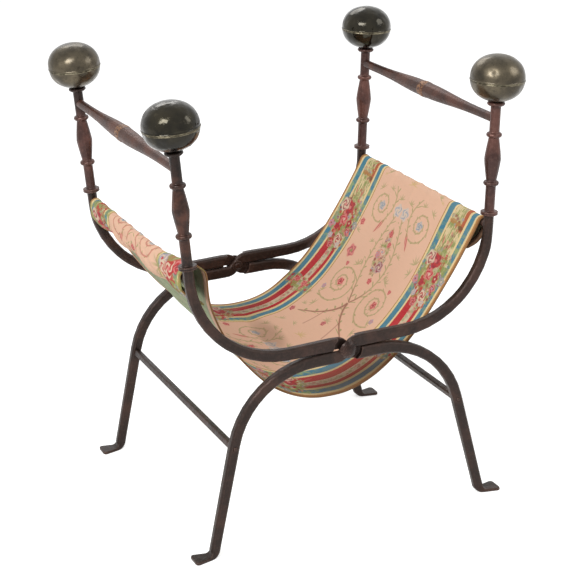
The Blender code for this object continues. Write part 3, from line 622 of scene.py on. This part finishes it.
def draw_almond(pattern):
    """The posy between the field's two long stems."""
    across = pattern.across
    pattern.grow_blooms()
    pattern.posy(across, (0.0, 0.236), 0.018, 0.036, 0.8)
    pattern.posy(across, (0.001, 0.282), 0.010, 0.022, 0.7)
    for flower in (
        ((0.000, 0.292), 0.0075, PINK, RED), ((-0.009, 0.272), 0.0060, PINK, RED),
        ((0.003, 0.252), 0.0105, WHITE, PINK, LILAC), ((0.013, 0.243), 0.0080, PINK, LILAC),
        ((-0.011, 0.222), 0.0125, MAUVE, DARK_RED, WHITE), ((-0.008, 0.189), 0.0075, PINK, RED),
    ):
        pattern.flower(across, *flower)


def draw_posies(pattern):
    """Small flowers and leaves over the borders."""
    border = pattern.border
    pattern.grow_blooms()
    sleeve = pattern.along.below(LEFT_SLEEVE, 0.01) * pattern.wide.above(FIELD_HALF_WIDTH, 0.002)
    pattern.paint(LEAF, sleeve * pattern.noise(55.0, (0.42, 0.55)) * 0.75)
    pattern.posy(border, (0.052, 0.272), 0.044, 0.052)
    pattern.posy(border, (0.046, 0.232), 0.034, 0.036, 0.8)
    pattern.posy(border, (0.052, 0.098), 0.054, 0.018, 0.9)
    garland = pattern.along.above(STALKS_START)
    pattern.posy(border, (0.056, 0.386), 0.022, 0.016, garland * 0.7)
    pattern.posy(border, (0.046, 0.195), 0.008, 0.24, 0.6)
    for sprig in (
        ((0.034, 0.300), 0.024, 1.1), ((0.056, 0.316), 0.022, 1.9), ((0.020, 0.276), 0.020, 2.2),
        ((0.084, 0.266), 0.020, 0.4), ((0.048, 0.240), 0.020, 2.6), ((0.020, 0.092), 0.014, 0.5),
        ((0.082, 0.092), 0.014, 2.4), ((0.050, 0.086), 0.014, 1.6),
    ):
        pattern.sprig(border, *sprig)
    for middle, half_width, half_length, colour in (
        ((0.064, 0.377), 0.010, 0.005, GOLD), ((0.046, 0.375), 0.009, 0.004, GOLD),
        ((0.036, 0.370), 0.008, 0.0045, BOW),
    ):
        bow = oval(border, pattern.repeat, middle, half_width, half_length)
        pattern.paint(colour, (bow + pattern.ragged).below(1.0, 0.3) * garland * 0.8)


def draw_roses(pattern):
    """Large flowers over the borders."""
    border = pattern.border
    for flower in (
        ((0.058, 0.294), 0.0165, RED, DARK_RED, PINK), ((0.078, 0.296), 0.0155, WHITE, DARK_RED, PINK),
        ((0.034, 0.264), 0.0090, RED, DARK_RED, WHITE), ((0.058, 0.266), 0.0125, PINK, RED, WHITE),
        ((0.069, 0.246), 0.0085, RED, DARK_RED), ((0.044, 0.224), 0.0125, WHITE, RED, DARK_RED),
        ((0.058, 0.206), 0.0090, PINK, DARK_RED, RED), ((0.034, 0.212), 0.0080, WHITE, LILAC),
        ((0.010, 0.266), 0.0090, LILAC, LEAF, WHITE), ((0.092, 0.245), 0.0095, PINK, LILAC, DARK_RED),
        ((0.026, 0.246), 0.0095, PINK, DARK_RED, LILAC), ((0.074, 0.222), 0.0075, LILAC, WHITE),
        ((0.036, 0.104), 0.0085, PINK, RED), ((0.064, 0.104), 0.0085, PINK, RED),
    ):
        pattern.flower(border, *flower)
    pattern.bud(border, (0.040, 0.332), 0.014, 1.8)
    pattern.bud(border, (0.064, 0.336), 0.014, 1.3)


def draw_sleeve(pattern):
    """The bouquet at the front of the left sleeve, which doesn't repeat."""
    pattern.repeat = pattern.along
    pattern.sprig(pattern.across, (-0.136, -0.462), 0.040, 0.7)
    for flower in (
        ((-0.150, -0.440), 0.0140, LILAC, WHITE, RED), ((-0.208, -0.434), 0.0165, RED, PINK, DARK_RED),
        ((-0.148, -0.472), 0.0125, RED, PINK, DARK_RED), ((-0.160, -0.454), 0.0150, WHITE, RED, PINK),
        ((-0.186, -0.448), 0.0185, RED, WHITE, PINK), ((-0.184, -0.484), 0.0110, DARK_RED, RED, WHITE),
    ):
        pattern.flower(pattern.across, *flower)


def draw_wear_and_shade(pattern):
    """Faded patches and uneven threads, and painted shade: darker patches where the seat hangs lowest and at
    a corner.
    """
    faded = pattern.noise(14.0, (0.3, 0.7))
    pattern.paint(FADED, faded * 0.07)
    slubs = pattern.noise(420.0, (0.4, 0.75), 0.12)
    pattern.paint(SLUBS, slubs * 0.08)
    # Painted shade: darker patches beside the lowest line, over the low front and back borders, and at the
    # front corner of the right sleeve
    for middle, half_width, half_length, amount in (
        ((0.055, -0.014), 0.10, 0.030, 0.38), ((-0.205, 0.040), 0.08, 0.13, 0.68),
        ((0.19, -0.02), 0.06, 0.08, 0.30), ((-0.245, 0.505), 0.03, 0.08, 0.85),
    ):
        shade_patch = oval(pattern.across, pattern.along, middle, half_width, half_length)
        pattern.paint(PAINTED_SHADE, shade_patch.ramp(1.0, 0.0) * amount)


def cloth_place(tree):
    """The place on the flat cloth: across it, along it and zero."""
    return Number(tree, node(tree, "Attribute", attribute_name="cloth").outputs["Vector"])


def layer(tree, draw, place, under):
    """Lay part of the drawing over a colour. It has a node group of its own, which keeps the trees small."""
    group = bpy.data.node_groups.new(draw.__name__, "ShaderNodeTree")
    group.interface.new_socket("Place", in_out="INPUT", socket_type="NodeSocketVector")
    group.interface.new_socket("Under", in_out="INPUT", socket_type="NodeSocketColor")
    group.interface.new_socket("Over", in_out="OUTPUT", socket_type="NodeSocketColor")
    given = group.nodes.new("NodeGroupInput")
    pattern = Pattern(group, Number(group, given.outputs["Place"]), Number(group, given.outputs["Under"]))
    draw(pattern)
    feed(group, group.nodes.new("NodeGroupOutput").inputs["Over"], pattern.colour)
    use = node(tree, "Group", node_tree=group)
    feed(tree, use.inputs["Place"], place)
    feed(tree, use.inputs["Under"], under)
    return Number(tree, use.outputs["Over"])


def weave(tree, shader, height):
    """Ribs of the weft, crossed by fine warp threads."""
    across, along, _ = parts(tree, cloth_place(tree))
    ribs = (along * (2 * pi / RIB_SPACING)).math("SINE")
    threads = (across * (2 * pi / THREAD_SPACING)).math("SINE")
    bump(tree, shader, ribs + threads * 0.6, height, 0.6)


def brocade():
    """Face of the cloth: a peach field with scrolls and flowers between two striped borders.

    The places for each layer take up a trace of the colour below it, far too little to see. That makes the
    renderer finish one layer before it starts the next; it can't hold the numbers of all of them at once.
    """
    made, tree, shader = surface("brocade_face")
    place = cloth_place(tree)
    colour = PEACH
    for draw in (
        draw_ground, draw_scrolls, draw_flowers, draw_sprigs, draw_almond, draw_posies, draw_roses,
        draw_sleeve, draw_wear_and_shade,
    ):
        colour = layer(tree, draw, place, colour)
        place = vector_math(tree, "MULTIPLY_ADD", colour, (TRACE, TRACE, TRACE), place)
    feed(tree, shader.inputs["Base Color"], colour)
    shader.inputs["Roughness"].default_value = 0.78
    shader.inputs["Sheen Weight"].default_value = 0.03
    shader.inputs["Sheen Roughness"].default_value = 0.4
    shader.inputs["Specular IOR Level"].default_value = 0.15
    weave(tree, shader, 0.00012)
    return made


def draw_reverse(pattern):
    """Floats of the coloured wefts, showing faintly."""
    floats = pattern.noise(150.0, (0.35, 0.7), 0.1)
    pattern.paint(REVERSE_FLOATS, floats)
    stripes = ((pattern.wide - FIELD_HALF_WIDTH) * (2 * pi / 0.036)).math("SINE").above(0.2, 0.3)
    border = pattern.wide.above(FIELD_HALF_WIDTH, 0.002)
    pattern.paint(REVERSE_STRIPES, stripes * border * 0.55)
    patches = pattern.noise(30.0, (0.5, 0.62))
    pattern.paint(REVERSE_PATCHES, patches * 0.35)


def reverse():
    """Back of the cloth, sage green."""
    made, tree, shader = surface("brocade_reverse")
    feed(tree, shader.inputs["Base Color"], layer(tree, draw_reverse, cloth_place(tree), SAGE))
    shader.inputs["Roughness"].default_value = 0.85
    shader.inputs["Sheen Weight"].default_value = 0.08
    shader.inputs["Specular IOR Level"].default_value = 0.2
    weave(tree, shader, 0.0001)
    return made


def mesh_object(name, points, faces):
    """A smooth mesh from points and faces."""
    mesh = bpy.data.meshes.new(name)
    mesh.from_pydata(points, [], faces)
    mesh.update()
    mesh.shade_smooth()
    made = bpy.data.objects.new(name, mesh)
    bpy.context.scene.collection.objects.link(made)
    return made


def ellipse_line(inset, start, end):
    """Points along the ball's outline, or along one inset from it, from one height angle to another."""
    line = []
    for i in range(BALL_RINGS + 1):
        angle = start + (end - start) * i / BALL_RINGS
        out = abs(cos(angle)) ** BALL_FULLNESS
        up = copysign(abs(sin(angle)) ** BALL_FULLNESS, sin(angle))
        line.append(((BALL_RADIUS - inset) * out, (BALL_HALF_HEIGHT - inset) * up))
    return line


def height_angle(inset, height):
    share = height / (BALL_HALF_HEIGHT - inset)
    return asin(copysign(abs(share) ** (1 / BALL_FULLNESS), share))


def hole_angle(inset):
    share = BALL_HOLE / (BALL_RADIUS - inset)
    return -acos(share ** (1 / BALL_FULLNESS))


def upper_shell():
    """Profile of the upper shell with the rolled lip at its rim, and the steps that are its lip."""
    rim = SEAM_GAP - SEAM_DROP
    lip_top = rim + LIP_HEIGHT
    outer = ellipse_line(0, pi / 2, height_angle(0, lip_top))
    inner = ellipse_line(BALL_WALL, height_angle(BALL_WALL, rim), pi / 2)
    proud = outer[-1][0] + LIP_RISE
    edge = LIP_HEIGHT / 4
    lip = [(proud - edge / 2, lip_top), (proud, lip_top - edge), (proud, rim + edge), (proud - edge, rim)]
    lip_steps = range(len(outer) - 1, len(outer) + len(lip))
    return outer + lip + inner, False, lip_steps


def lower_shell():
    """Profile of the lower shell, open where the post's spigot comes in."""
    rim = -SEAM_DROP
    outer = ellipse_line(0, height_angle(0, rim), hole_angle(0))
    inner = ellipse_line(BALL_WALL, hole_angle(BALL_WALL), height_angle(BALL_WALL, rim))
    return outer + inner, True, range(0, 1)


def spun(name, profile, closed, lip_steps):
    """A body turned about its own Z; the faces of the lip have the second material."""
    points = []
    rows = []
    for radius, height in profile:
        on_axis = radius < 1e-6
        count = 1 if on_axis else BALL_SEGMENTS
        rows.append([len(points) + i for i in range(count)])
        turns = [2 * pi * i / BALL_SEGMENTS for i in range(count)]
        points += [(radius * cos(a), radius * sin(a), height) for a in turns]
    faces = []
    lips = []
    pairs = list(zip(rows, rows[1:] + rows[:1]))
    for step, (above, under) in enumerate(pairs if closed else pairs[:-1]):
        for i in range(BALL_SEGMENTS):
            j = (i + 1) % BALL_SEGMENTS
            corners = [above[i % len(above)], under[i % len(under)]]
            corners += [under[j % len(under)], above[j % len(above)]]
            faces.append(list(dict.fromkeys(corners)))
            lips.append(step in lip_steps)
    made = mesh_object(name, points, faces)
    made.data.polygons.foreach_set("material_index", np.array(lips, dtype=np.int32))
    return made


def dent(ball, seed):
    """Press small hollows into the outside of a ball."""
    chance = random.Random(seed)
    for _ in range(DENTS_PER_BALL):
        turn = chance.uniform(0, 2 * pi)
        rise = chance.uniform(-0.5, 1.0)
        level = sqrt(1 - rise * rise)
        middle = Vector((cos(turn) * level, sin(turn) * level, rise)) * BALL_RADIUS
        depth = chance.uniform(*DENT_DEPTH)
        width = chance.uniform(*DENT_WIDTH)
        for vertex in ball.data.vertices:
            away = (vertex.co - middle).length
            if away < 3 * width:
                vertex.co -= vertex.co.normalized() * depth * hump(away, 0, width)


def make_balls(metals, rim_metal):
    """Two shells for each finial, in place of the plain ones."""
    for side_name, side in SIDES.items():
        for end_name in ENDS:
            stem = f"{end_name}_{side_name}_ball"
            metal = metals["worn" if stem in WORN_BALLS else "dark"]
            low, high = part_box(stem + "_upper")
            centre = Vector(((low.x + high.x) / 2, (low.y + high.y) / 2, high.z - BALL_HALF_HEIGHT))
            lean = Matrix.Rotation(side * radians(BALL_LEAN), 4, "Y")
            for half, profile in (("upper", upper_shell()), ("lower", lower_shell())):
                shell = spun(f"{stem}_{half}_shell", *profile)
                dent(shell, stem)
                shell.data.transform(Matrix.Translation(centre) @ lean)
                shell.data.materials.append(metal)
                shell.data.materials.append(rim_metal)
                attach(shell, side_name + "_frame")
                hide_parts(f"{stem}_{half}")


def forge(piece, voxel, rounding):
    """Give an iron piece soft worn edges."""
    weld = piece.modifiers.new("weld", "WELD")
    weld.merge_threshold = WELD_DISTANCE
    remesh = piece.modifiers.new("fine", "REMESH")
    remesh.mode = "VOXEL"
    remesh.voxel_size = voxel
    remesh.use_smooth_shade = True
    smooth = piece.modifiers.new("worn", "SMOOTH")
    smooth.factor = 0.5
    smooth.iterations = rounding


def dress_iron(metals):
    """Finish of the iron pieces, which keep their modelled shapes."""
    for name, piece in NODES.items():
        kind = name.split("_")[-1]
        if kind not in FINISHES:
            continue
        voxel, rounding = FINISHES[kind]
        piece.data.materials.clear()
        piece.data.materials.append(metals.get(name) or metals.get(kind, metals["bar"]))
        forge(piece, voxel, rounding)


def mix(a, b, share):
    return a + (b - a) * share


def hump(place, middle, half_width):
    """1 at the middle, falling off smoothly to either side."""
    return exp(-((place - middle) / half_width) ** 2)


def lengths(line, total):
    """How far along a line each of its points is, scaled to a total length."""
    steps = np.hypot(*np.diff(line, axis=0).T)
    return np.concatenate([[0], np.cumsum(steps)]) * total / steps.sum()


def seat_side(side_name, depth):
    """Half a line of the seat cloth, at a depth from the front edge (0) to the back edge (1).

    It gives (cloth length from the lowest point, x, z) from that point, over the rod and down to the sleeve's
    seam.
    """
    side = SIDES[side_name]
    low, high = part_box(side_name + "_seat_rod")
    rod_x, rod_z = abs(low.x + high.x) / 2, (low.z + high.z) / 2
    wrap = (high.z - low.z) / 2 + ROD_GAP + CLOTH_THICKNESS / 2
    low_x = side * mix(SAG_OFFSET["front"], SAG_OFFSET["back"], depth)
    low_z = mix(SAG_HEIGHT["front"], SAG_HEIGHT["back"], depth)
    slack = mix(SLACK[side_name, "front"], SLACK[side_name, "back"], depth)
    leave = atan2(rod_x - low_x, (rod_z - low_z) * slack)
    span = rod_x - wrap * cos(leave) - low_x
    rise = rod_z + wrap * sin(leave) - low_z
    shares = np.linspace(0, 1, HANG_STEPS, endpoint=False)
    hang = np.stack([low_x + span * shares, low_z + rise * shares ** slack], 1)
    turns = np.linspace(pi - leave, pi / 2, WRAP_STEPS)
    over = np.stack([rod_x + wrap * np.cos(turns), rod_z + wrap * np.sin(turns)], 1)
    seat = np.concatenate([hang, over])

    drop = SLEEVE_DROP[side_name]
    seam_share = ((rod_z - drop - low_z) / rise) ** (1 / slack)
    slope = atan2(rise * slack * seam_share ** (slack - 1), span)
    end = np.array([low_x + span * seam_share, rod_z - drop])
    end += 2 * CLOTH_THICKNESS * np.array([sin(slope), -cos(slope)])
    bulge = sleeve_bulge(side_name, depth)
    turns = np.linspace(pi / 2, 0, WRAP_STEPS)[1:]
    outside = np.stack([rod_x + wrap * np.cos(turns), rod_z + wrap * np.sin(turns)], 1)
    start = outside[-1]
    leaving = start + np.array([bulge, -SLEEVE_FALL * drop])
    arriving = end + SLEEVE_TUCK * drop * np.array([cos(slope), sin(slope)]) + np.array([bulge, -bulge])
    t = np.linspace(0, 1, FLAP_STEPS)[1:, None]
    flap = (1 - t) ** 3 * start + 3 * (1 - t) ** 2 * t * leaving
    flap += 3 * (1 - t) * t ** 2 * arriving + t ** 3 * end
    sleeve = np.concatenate([seat[-1:], outside, flap])
    travel = np.concatenate([lengths(seat, SEAT_REACH), SEAT_REACH + lengths(sleeve, SLEEVE_LENGTH)[1:]])
    line = np.concatenate([seat, sleeve[1:]])
    return travel, side * line[:, 0], line[:, 1]


def sleeve_bulge(side_name, depth):
    """How far the sleeve stands off: full in the middle, in loose folds."""
    folds = sin(2 * pi * SLEEVE_FOLDS * depth + SLEEVE_FOLD_START[side_name])
    return SLEEVE_LOOSE + SLEEVE_FULL * sin(pi * depth) + SLEEVE_FOLD * folds


def seat_folds(across, along):
    """Height of the soft creases over the cloth, along its face."""
    seat_way = abs(along)
    coarse, fine = GATHER_SPACING
    gathers = sin(across * 2 * pi / coarse + 1.3)
    gathers += 0.6 * sin(across * 2 * pi / fine + (0.4 if along > 0 else 2.1))
    near_rod = hump(seat_way, SEAT_REACH, GATHER_REACH)
    crease = hump(along, *CREASE) - 0.5 * hump(along, *CREASE_RIDGE)
    crease *= hump(across, *CREASE_ACROSS)
    broad_noise = noise.noise(Vector((across * 9, along * 5, 3.7)))
    fine_noise = noise.noise(Vector((across * 26, along * 14, 8.1)))
    drapes = noise.noise(Vector((across * 24, along * 3, 5.3)))
    flap = max(0.0, seat_way - SEAT_REACH - RIPPLE_START) / SLEEVE_LENGTH
    ripples = sin((across * 0.9 + seat_way) * 2 * pi / RIPPLE_SPACING + 2 * broad_noise)
    ripples *= min(1.0, 5 * flap) * max(0.0, 1 - 1.1 * flap)
    height = GATHER_HEIGHT * max(0.0, gathers) * near_rod - CREASE_DEPTH * crease + RIPPLE_HEIGHT * ripples
    unevenness = BROAD_HEIGHT * broad_noise + FINE_HEIGHT * fine_noise + DRAPE_HEIGHT * drapes
    height += unevenness * (1 - near_rod)
    height *= min(1.0, (SEAT_REACH + SLEEVE_LENGTH - seat_way) / SEAM_REACH)
    return height + corner_puff(across, along)


def corner_puff(across, along):
    """How far the cloth stands off the left rod towards its front edge."""
    below_rod = max(0.0, along + SEAT_REACH) / PUFF_REACH
    near_front = hump(across, -CLOTH_HALF_WIDTH, PUFF_WIDTH)
    return PUFF * near_front * below_rod * exp(1 - below_rod)


def seat_lines():
    """Where the cloth lies at each depth, as three tables by length along the cloth."""
    lines = []
    for depth in np.linspace(0, 1, SEAT_LINES):
        left = seat_side("left", depth)
        right = seat_side("right", depth)
        travel = np.concatenate([-left[0][:0:-1], right[0]])
        x = np.concatenate([left[1][:0:-1], right[1]])
        z = np.concatenate([left[2][:0:-1], right[2]])
        lines.append((travel, x, z))
    return lines


def seat_columns():
    """Points across the cloth: (flat place, place in the chair, step down to the turned hem)."""
    count = round(2 * CLOTH_HALF_WIDTH / GRID)
    columns = [(y, y, 0.0) for y in np.linspace(-CLOTH_HALF_WIDTH, CLOTH_HALF_WIDTH, count + 1)]
    fold = 1.25 * CLOTH_THICKNESS
    hem = [(fold / 2, 0.0006, fold / 2), (fold, -0.0004, fold)]
    hem += [(fold + step, -step, fold) for step in np.linspace(0, HEM, 4)[1:]]
    for flat, back, down in hem:
        columns.insert(0, (-CLOTH_HALF_WIDTH - flat, -CLOTH_HALF_WIDTH - back, down))
        columns.append((CLOTH_HALF_WIDTH + flat, CLOTH_HALF_WIDTH + back, down))
    return columns


def seat_points(rows, columns):
    """The cloth's points, column by column, and the place of each on the flat cloth."""
    lines = seat_lines()
    points = []
    places = []
    for flat, y, down in columns:
        depth = min(max((y + CLOTH_HALF_WIDTH) / (2 * CLOTH_HALF_WIDTH), 0), 1) * (len(lines) - 1)
        near = min(int(depth), len(lines) - 2)
        tables = []
        for travel, x, z in lines[near:near + 2]:
            tables.append((np.interp(rows, travel, x), np.interp(rows, travel, z)))
        x = mix(tables[0][0], tables[1][0], depth - near)
        z = mix(tables[0][1], tables[1][1], depth - near)
        slope_x, slope_z = np.gradient(x), np.gradient(z)
        size = np.hypot(slope_x, slope_z)
        normal_x, normal_z = -slope_z / size, slope_x / size
        folds = np.array([seat_folds(y, along) for along in rows]) - down
        for i, along in enumerate(rows):
            points.append((x[i] + normal_x[i] * folds[i], y, z[i] + normal_z[i] * folds[i]))
            wander = WANDER * cos(2 * pi * (along - WANDER_START) / REPEAT)
            places.append((flat + wander * (1 - (flat / CLOTH_HALF_WIDTH) ** 2), along, 0.0))
    return points, places


def make_seat(face, back):
    """The slung seat: one sheet of brocade with a sleeve round each rod and hems turned under."""
    reach = SEAT_REACH + SLEEVE_LENGTH
    rows = np.linspace(-reach, reach, round(2 * reach / GRID) + 1)
    columns = seat_columns()
    points, places = seat_points(rows, columns)
    count = len(rows)
    faces = []
    for i in range(len(columns) - 1):
        for j in range(count - 1):
            first = i * count + j
            faces.append((first, first + 1, first + count + 1, first + count))
    seat = mesh_object("seat_cloth", points, faces)
    place = seat.data.attributes.new("cloth", "FLOAT_VECTOR", "POINT")
    place.data.foreach_set("vector", np.array(places, dtype=np.float32).ravel())
    seat.data.materials.append(face)
    seat.data.materials.append(back)
    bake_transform(seat)
    solid = seat.modifiers.new("thickness", "SOLIDIFY")
    solid.thickness = CLOTH_THICKNESS
    solid.offset = 0
    solid.material_offset = 1
    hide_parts("seat_sling")


def make_camera():
    """The photograph's viewpoint."""
    azimuth, elevation, roll = radians(AZIMUTH), radians(ELEVATION), radians(ROLL)
    back = Vector((sin(azimuth) * cos(elevation), -cos(azimuth) * cos(elevation), sin(elevation)))
    level = Vector((cos(azimuth), sin(azimuth), 0))
    upright = back.cross(level)
    right = level * cos(roll) + upright * sin(roll)
    up = upright * cos(roll) - level * sin(roll)
    eye = Vector(TARGET) + back * DISTANCE + right * TARGET_SHIFT[0] + up * TARGET_SHIFT[1]
    lens = bpy.data.cameras.new("camera")
    lens.lens = FOCAL_LENGTH
    lens.sensor_width = SENSOR
    camera = bpy.data.objects.new("camera", lens)
    camera.matrix_world = Matrix.Translation(eye) @ Matrix((right, up, back)).transposed().to_4x4()
    bpy.context.scene.collection.objects.link(camera)
    bpy.context.scene.camera = camera


def area_light(name, place, size, power):
    """A softbox that faces the chair."""
    lamp = bpy.data.lights.new(name, "AREA")
    lamp.shape = "RECTANGLE"
    lamp.size, lamp.size_y = size
    lamp.energy = power
    made = bpy.data.objects.new(name, lamp)
    made.location = place
    made.rotation_euler = (Vector(LAMP_AIM) - Vector(place)).to_track_quat("-Z", "Y").to_euler()
    bpy.context.scene.collection.objects.link(made)


def seen_directly(tree):
    """1 for what the camera, a mirror or glass shows, 0 for light falling on things."""
    path = node(tree, "LightPath")
    seen = Number(tree, path.outputs["Is Camera Ray"])
    seen = seen.math("MAXIMUM", Number(tree, path.outputs["Is Glossy Ray"]))
    return seen.math("MAXIMUM", Number(tree, path.outputs["Is Transmission Ray"]))


def make_studio():
    """A pale floor, white surroundings and softboxes."""
    scene = bpy.context.scene
    scene.view_settings.view_transform = "Standard"
    world = bpy.data.worlds.new("studio")
    world.use_nodes = True
    tree = world.node_tree
    background = tree.nodes["Background"]
    background.inputs["Color"].default_value = (1, 1, 1, 1)
    feed(tree, background.inputs["Strength"], seen_directly(tree) * (1 - WORLD_LIGHT) + WORLD_LIGHT)
    scene.world = world

    half = FLOOR_HALF_SIZE
    corners = [(-half, -half, 0), (half, -half, 0), (half, half, 0), (-half, half, 0)]
    floor = mesh_object("floor", corners, [(0, 1, 2, 3)])
    made, tree, shader = surface("floor")
    shader.inputs["Base Color"].default_value = (FLOOR_GREY, FLOOR_GREY, FLOOR_GREY, 1)
    shader.inputs["Roughness"].default_value = 0.9
    shader.inputs["Specular IOR Level"].default_value = 0.0
    shader.inputs["Emission Color"].default_value = (1, 1, 1, 1)
    feed(tree, shader.inputs["Emission Strength"], seen_directly(tree) * FLOOR_GLOW)
    floor.data.materials.append(made)

    for name, place, size, power in LAMPS:
        area_light(name, place, size, power)


IRON = {
    "bar": iron(
        "forged_iron", dark=(0.022, 0.013, 0.010), brown=(0.050, 0.025, 0.018), worn=(0.095, 0.055, 0.043),
        brown_share=(0.42, 0.72), roughness=0.36, relief=0.0006,
    ),
    "post": iron(
        "handled_iron", dark=(0.054, 0.025, 0.021), brown=(0.125, 0.054, 0.042), worn=(0.18, 0.100, 0.080),
        brown_share=(0.40, 0.66), roughness=0.28, relief=0.0004, black_above=BLACK_ABOVE,
    ),
    "front_left_post": iron(
        "dark_post_iron", dark=(0.020, 0.011, 0.009), brown=(0.088, 0.036, 0.023), worn=(0.13, 0.070, 0.052),
        brown_share=(0.44, 0.68), roughness=0.28, relief=0.0004, black_above=BLACK_ABOVE,
    ),
    "rivet": iron(
        "worn_rivet", dark=(0.016, 0.008, 0.006), brown=(0.046, 0.022, 0.016), worn=(0.13, 0.072, 0.054),
        brown_share=(0.40, 0.66), roughness=0.26, relief=0.0004,
    ),
    "rail": iron(
        "rubbed_iron", dark=(0.045, 0.020, 0.015), brown=(0.095, 0.037, 0.024), worn=(0.13, 0.072, 0.054),
        brown_share=(0.35, 0.65), roughness=0.40, relief=0.0003, scuffed=BAND_HALF_WIDTH,
    ),
}
BRASS = {
    "dark": brass(
        "patinated_brass", dark=(0.0095, 0.0082, 0.0052), light=(0.034, 0.0287, 0.0160),
        roughness=0.09, coat=0.24, relief=0.0008, hammering=0.05,
    ),
    "worn": brass(
        "worn_brass", dark=(0.046, 0.038, 0.026), light=(0.122, 0.100, 0.066),
        roughness=0.27, coat=0.14, relief=0.0005, hammering=0.02,
    ),
}
make_camera()
make_studio()
dress_iron(IRON)
make_balls(BRASS, rubbed_brass())
make_seat(brocade(), reverse())
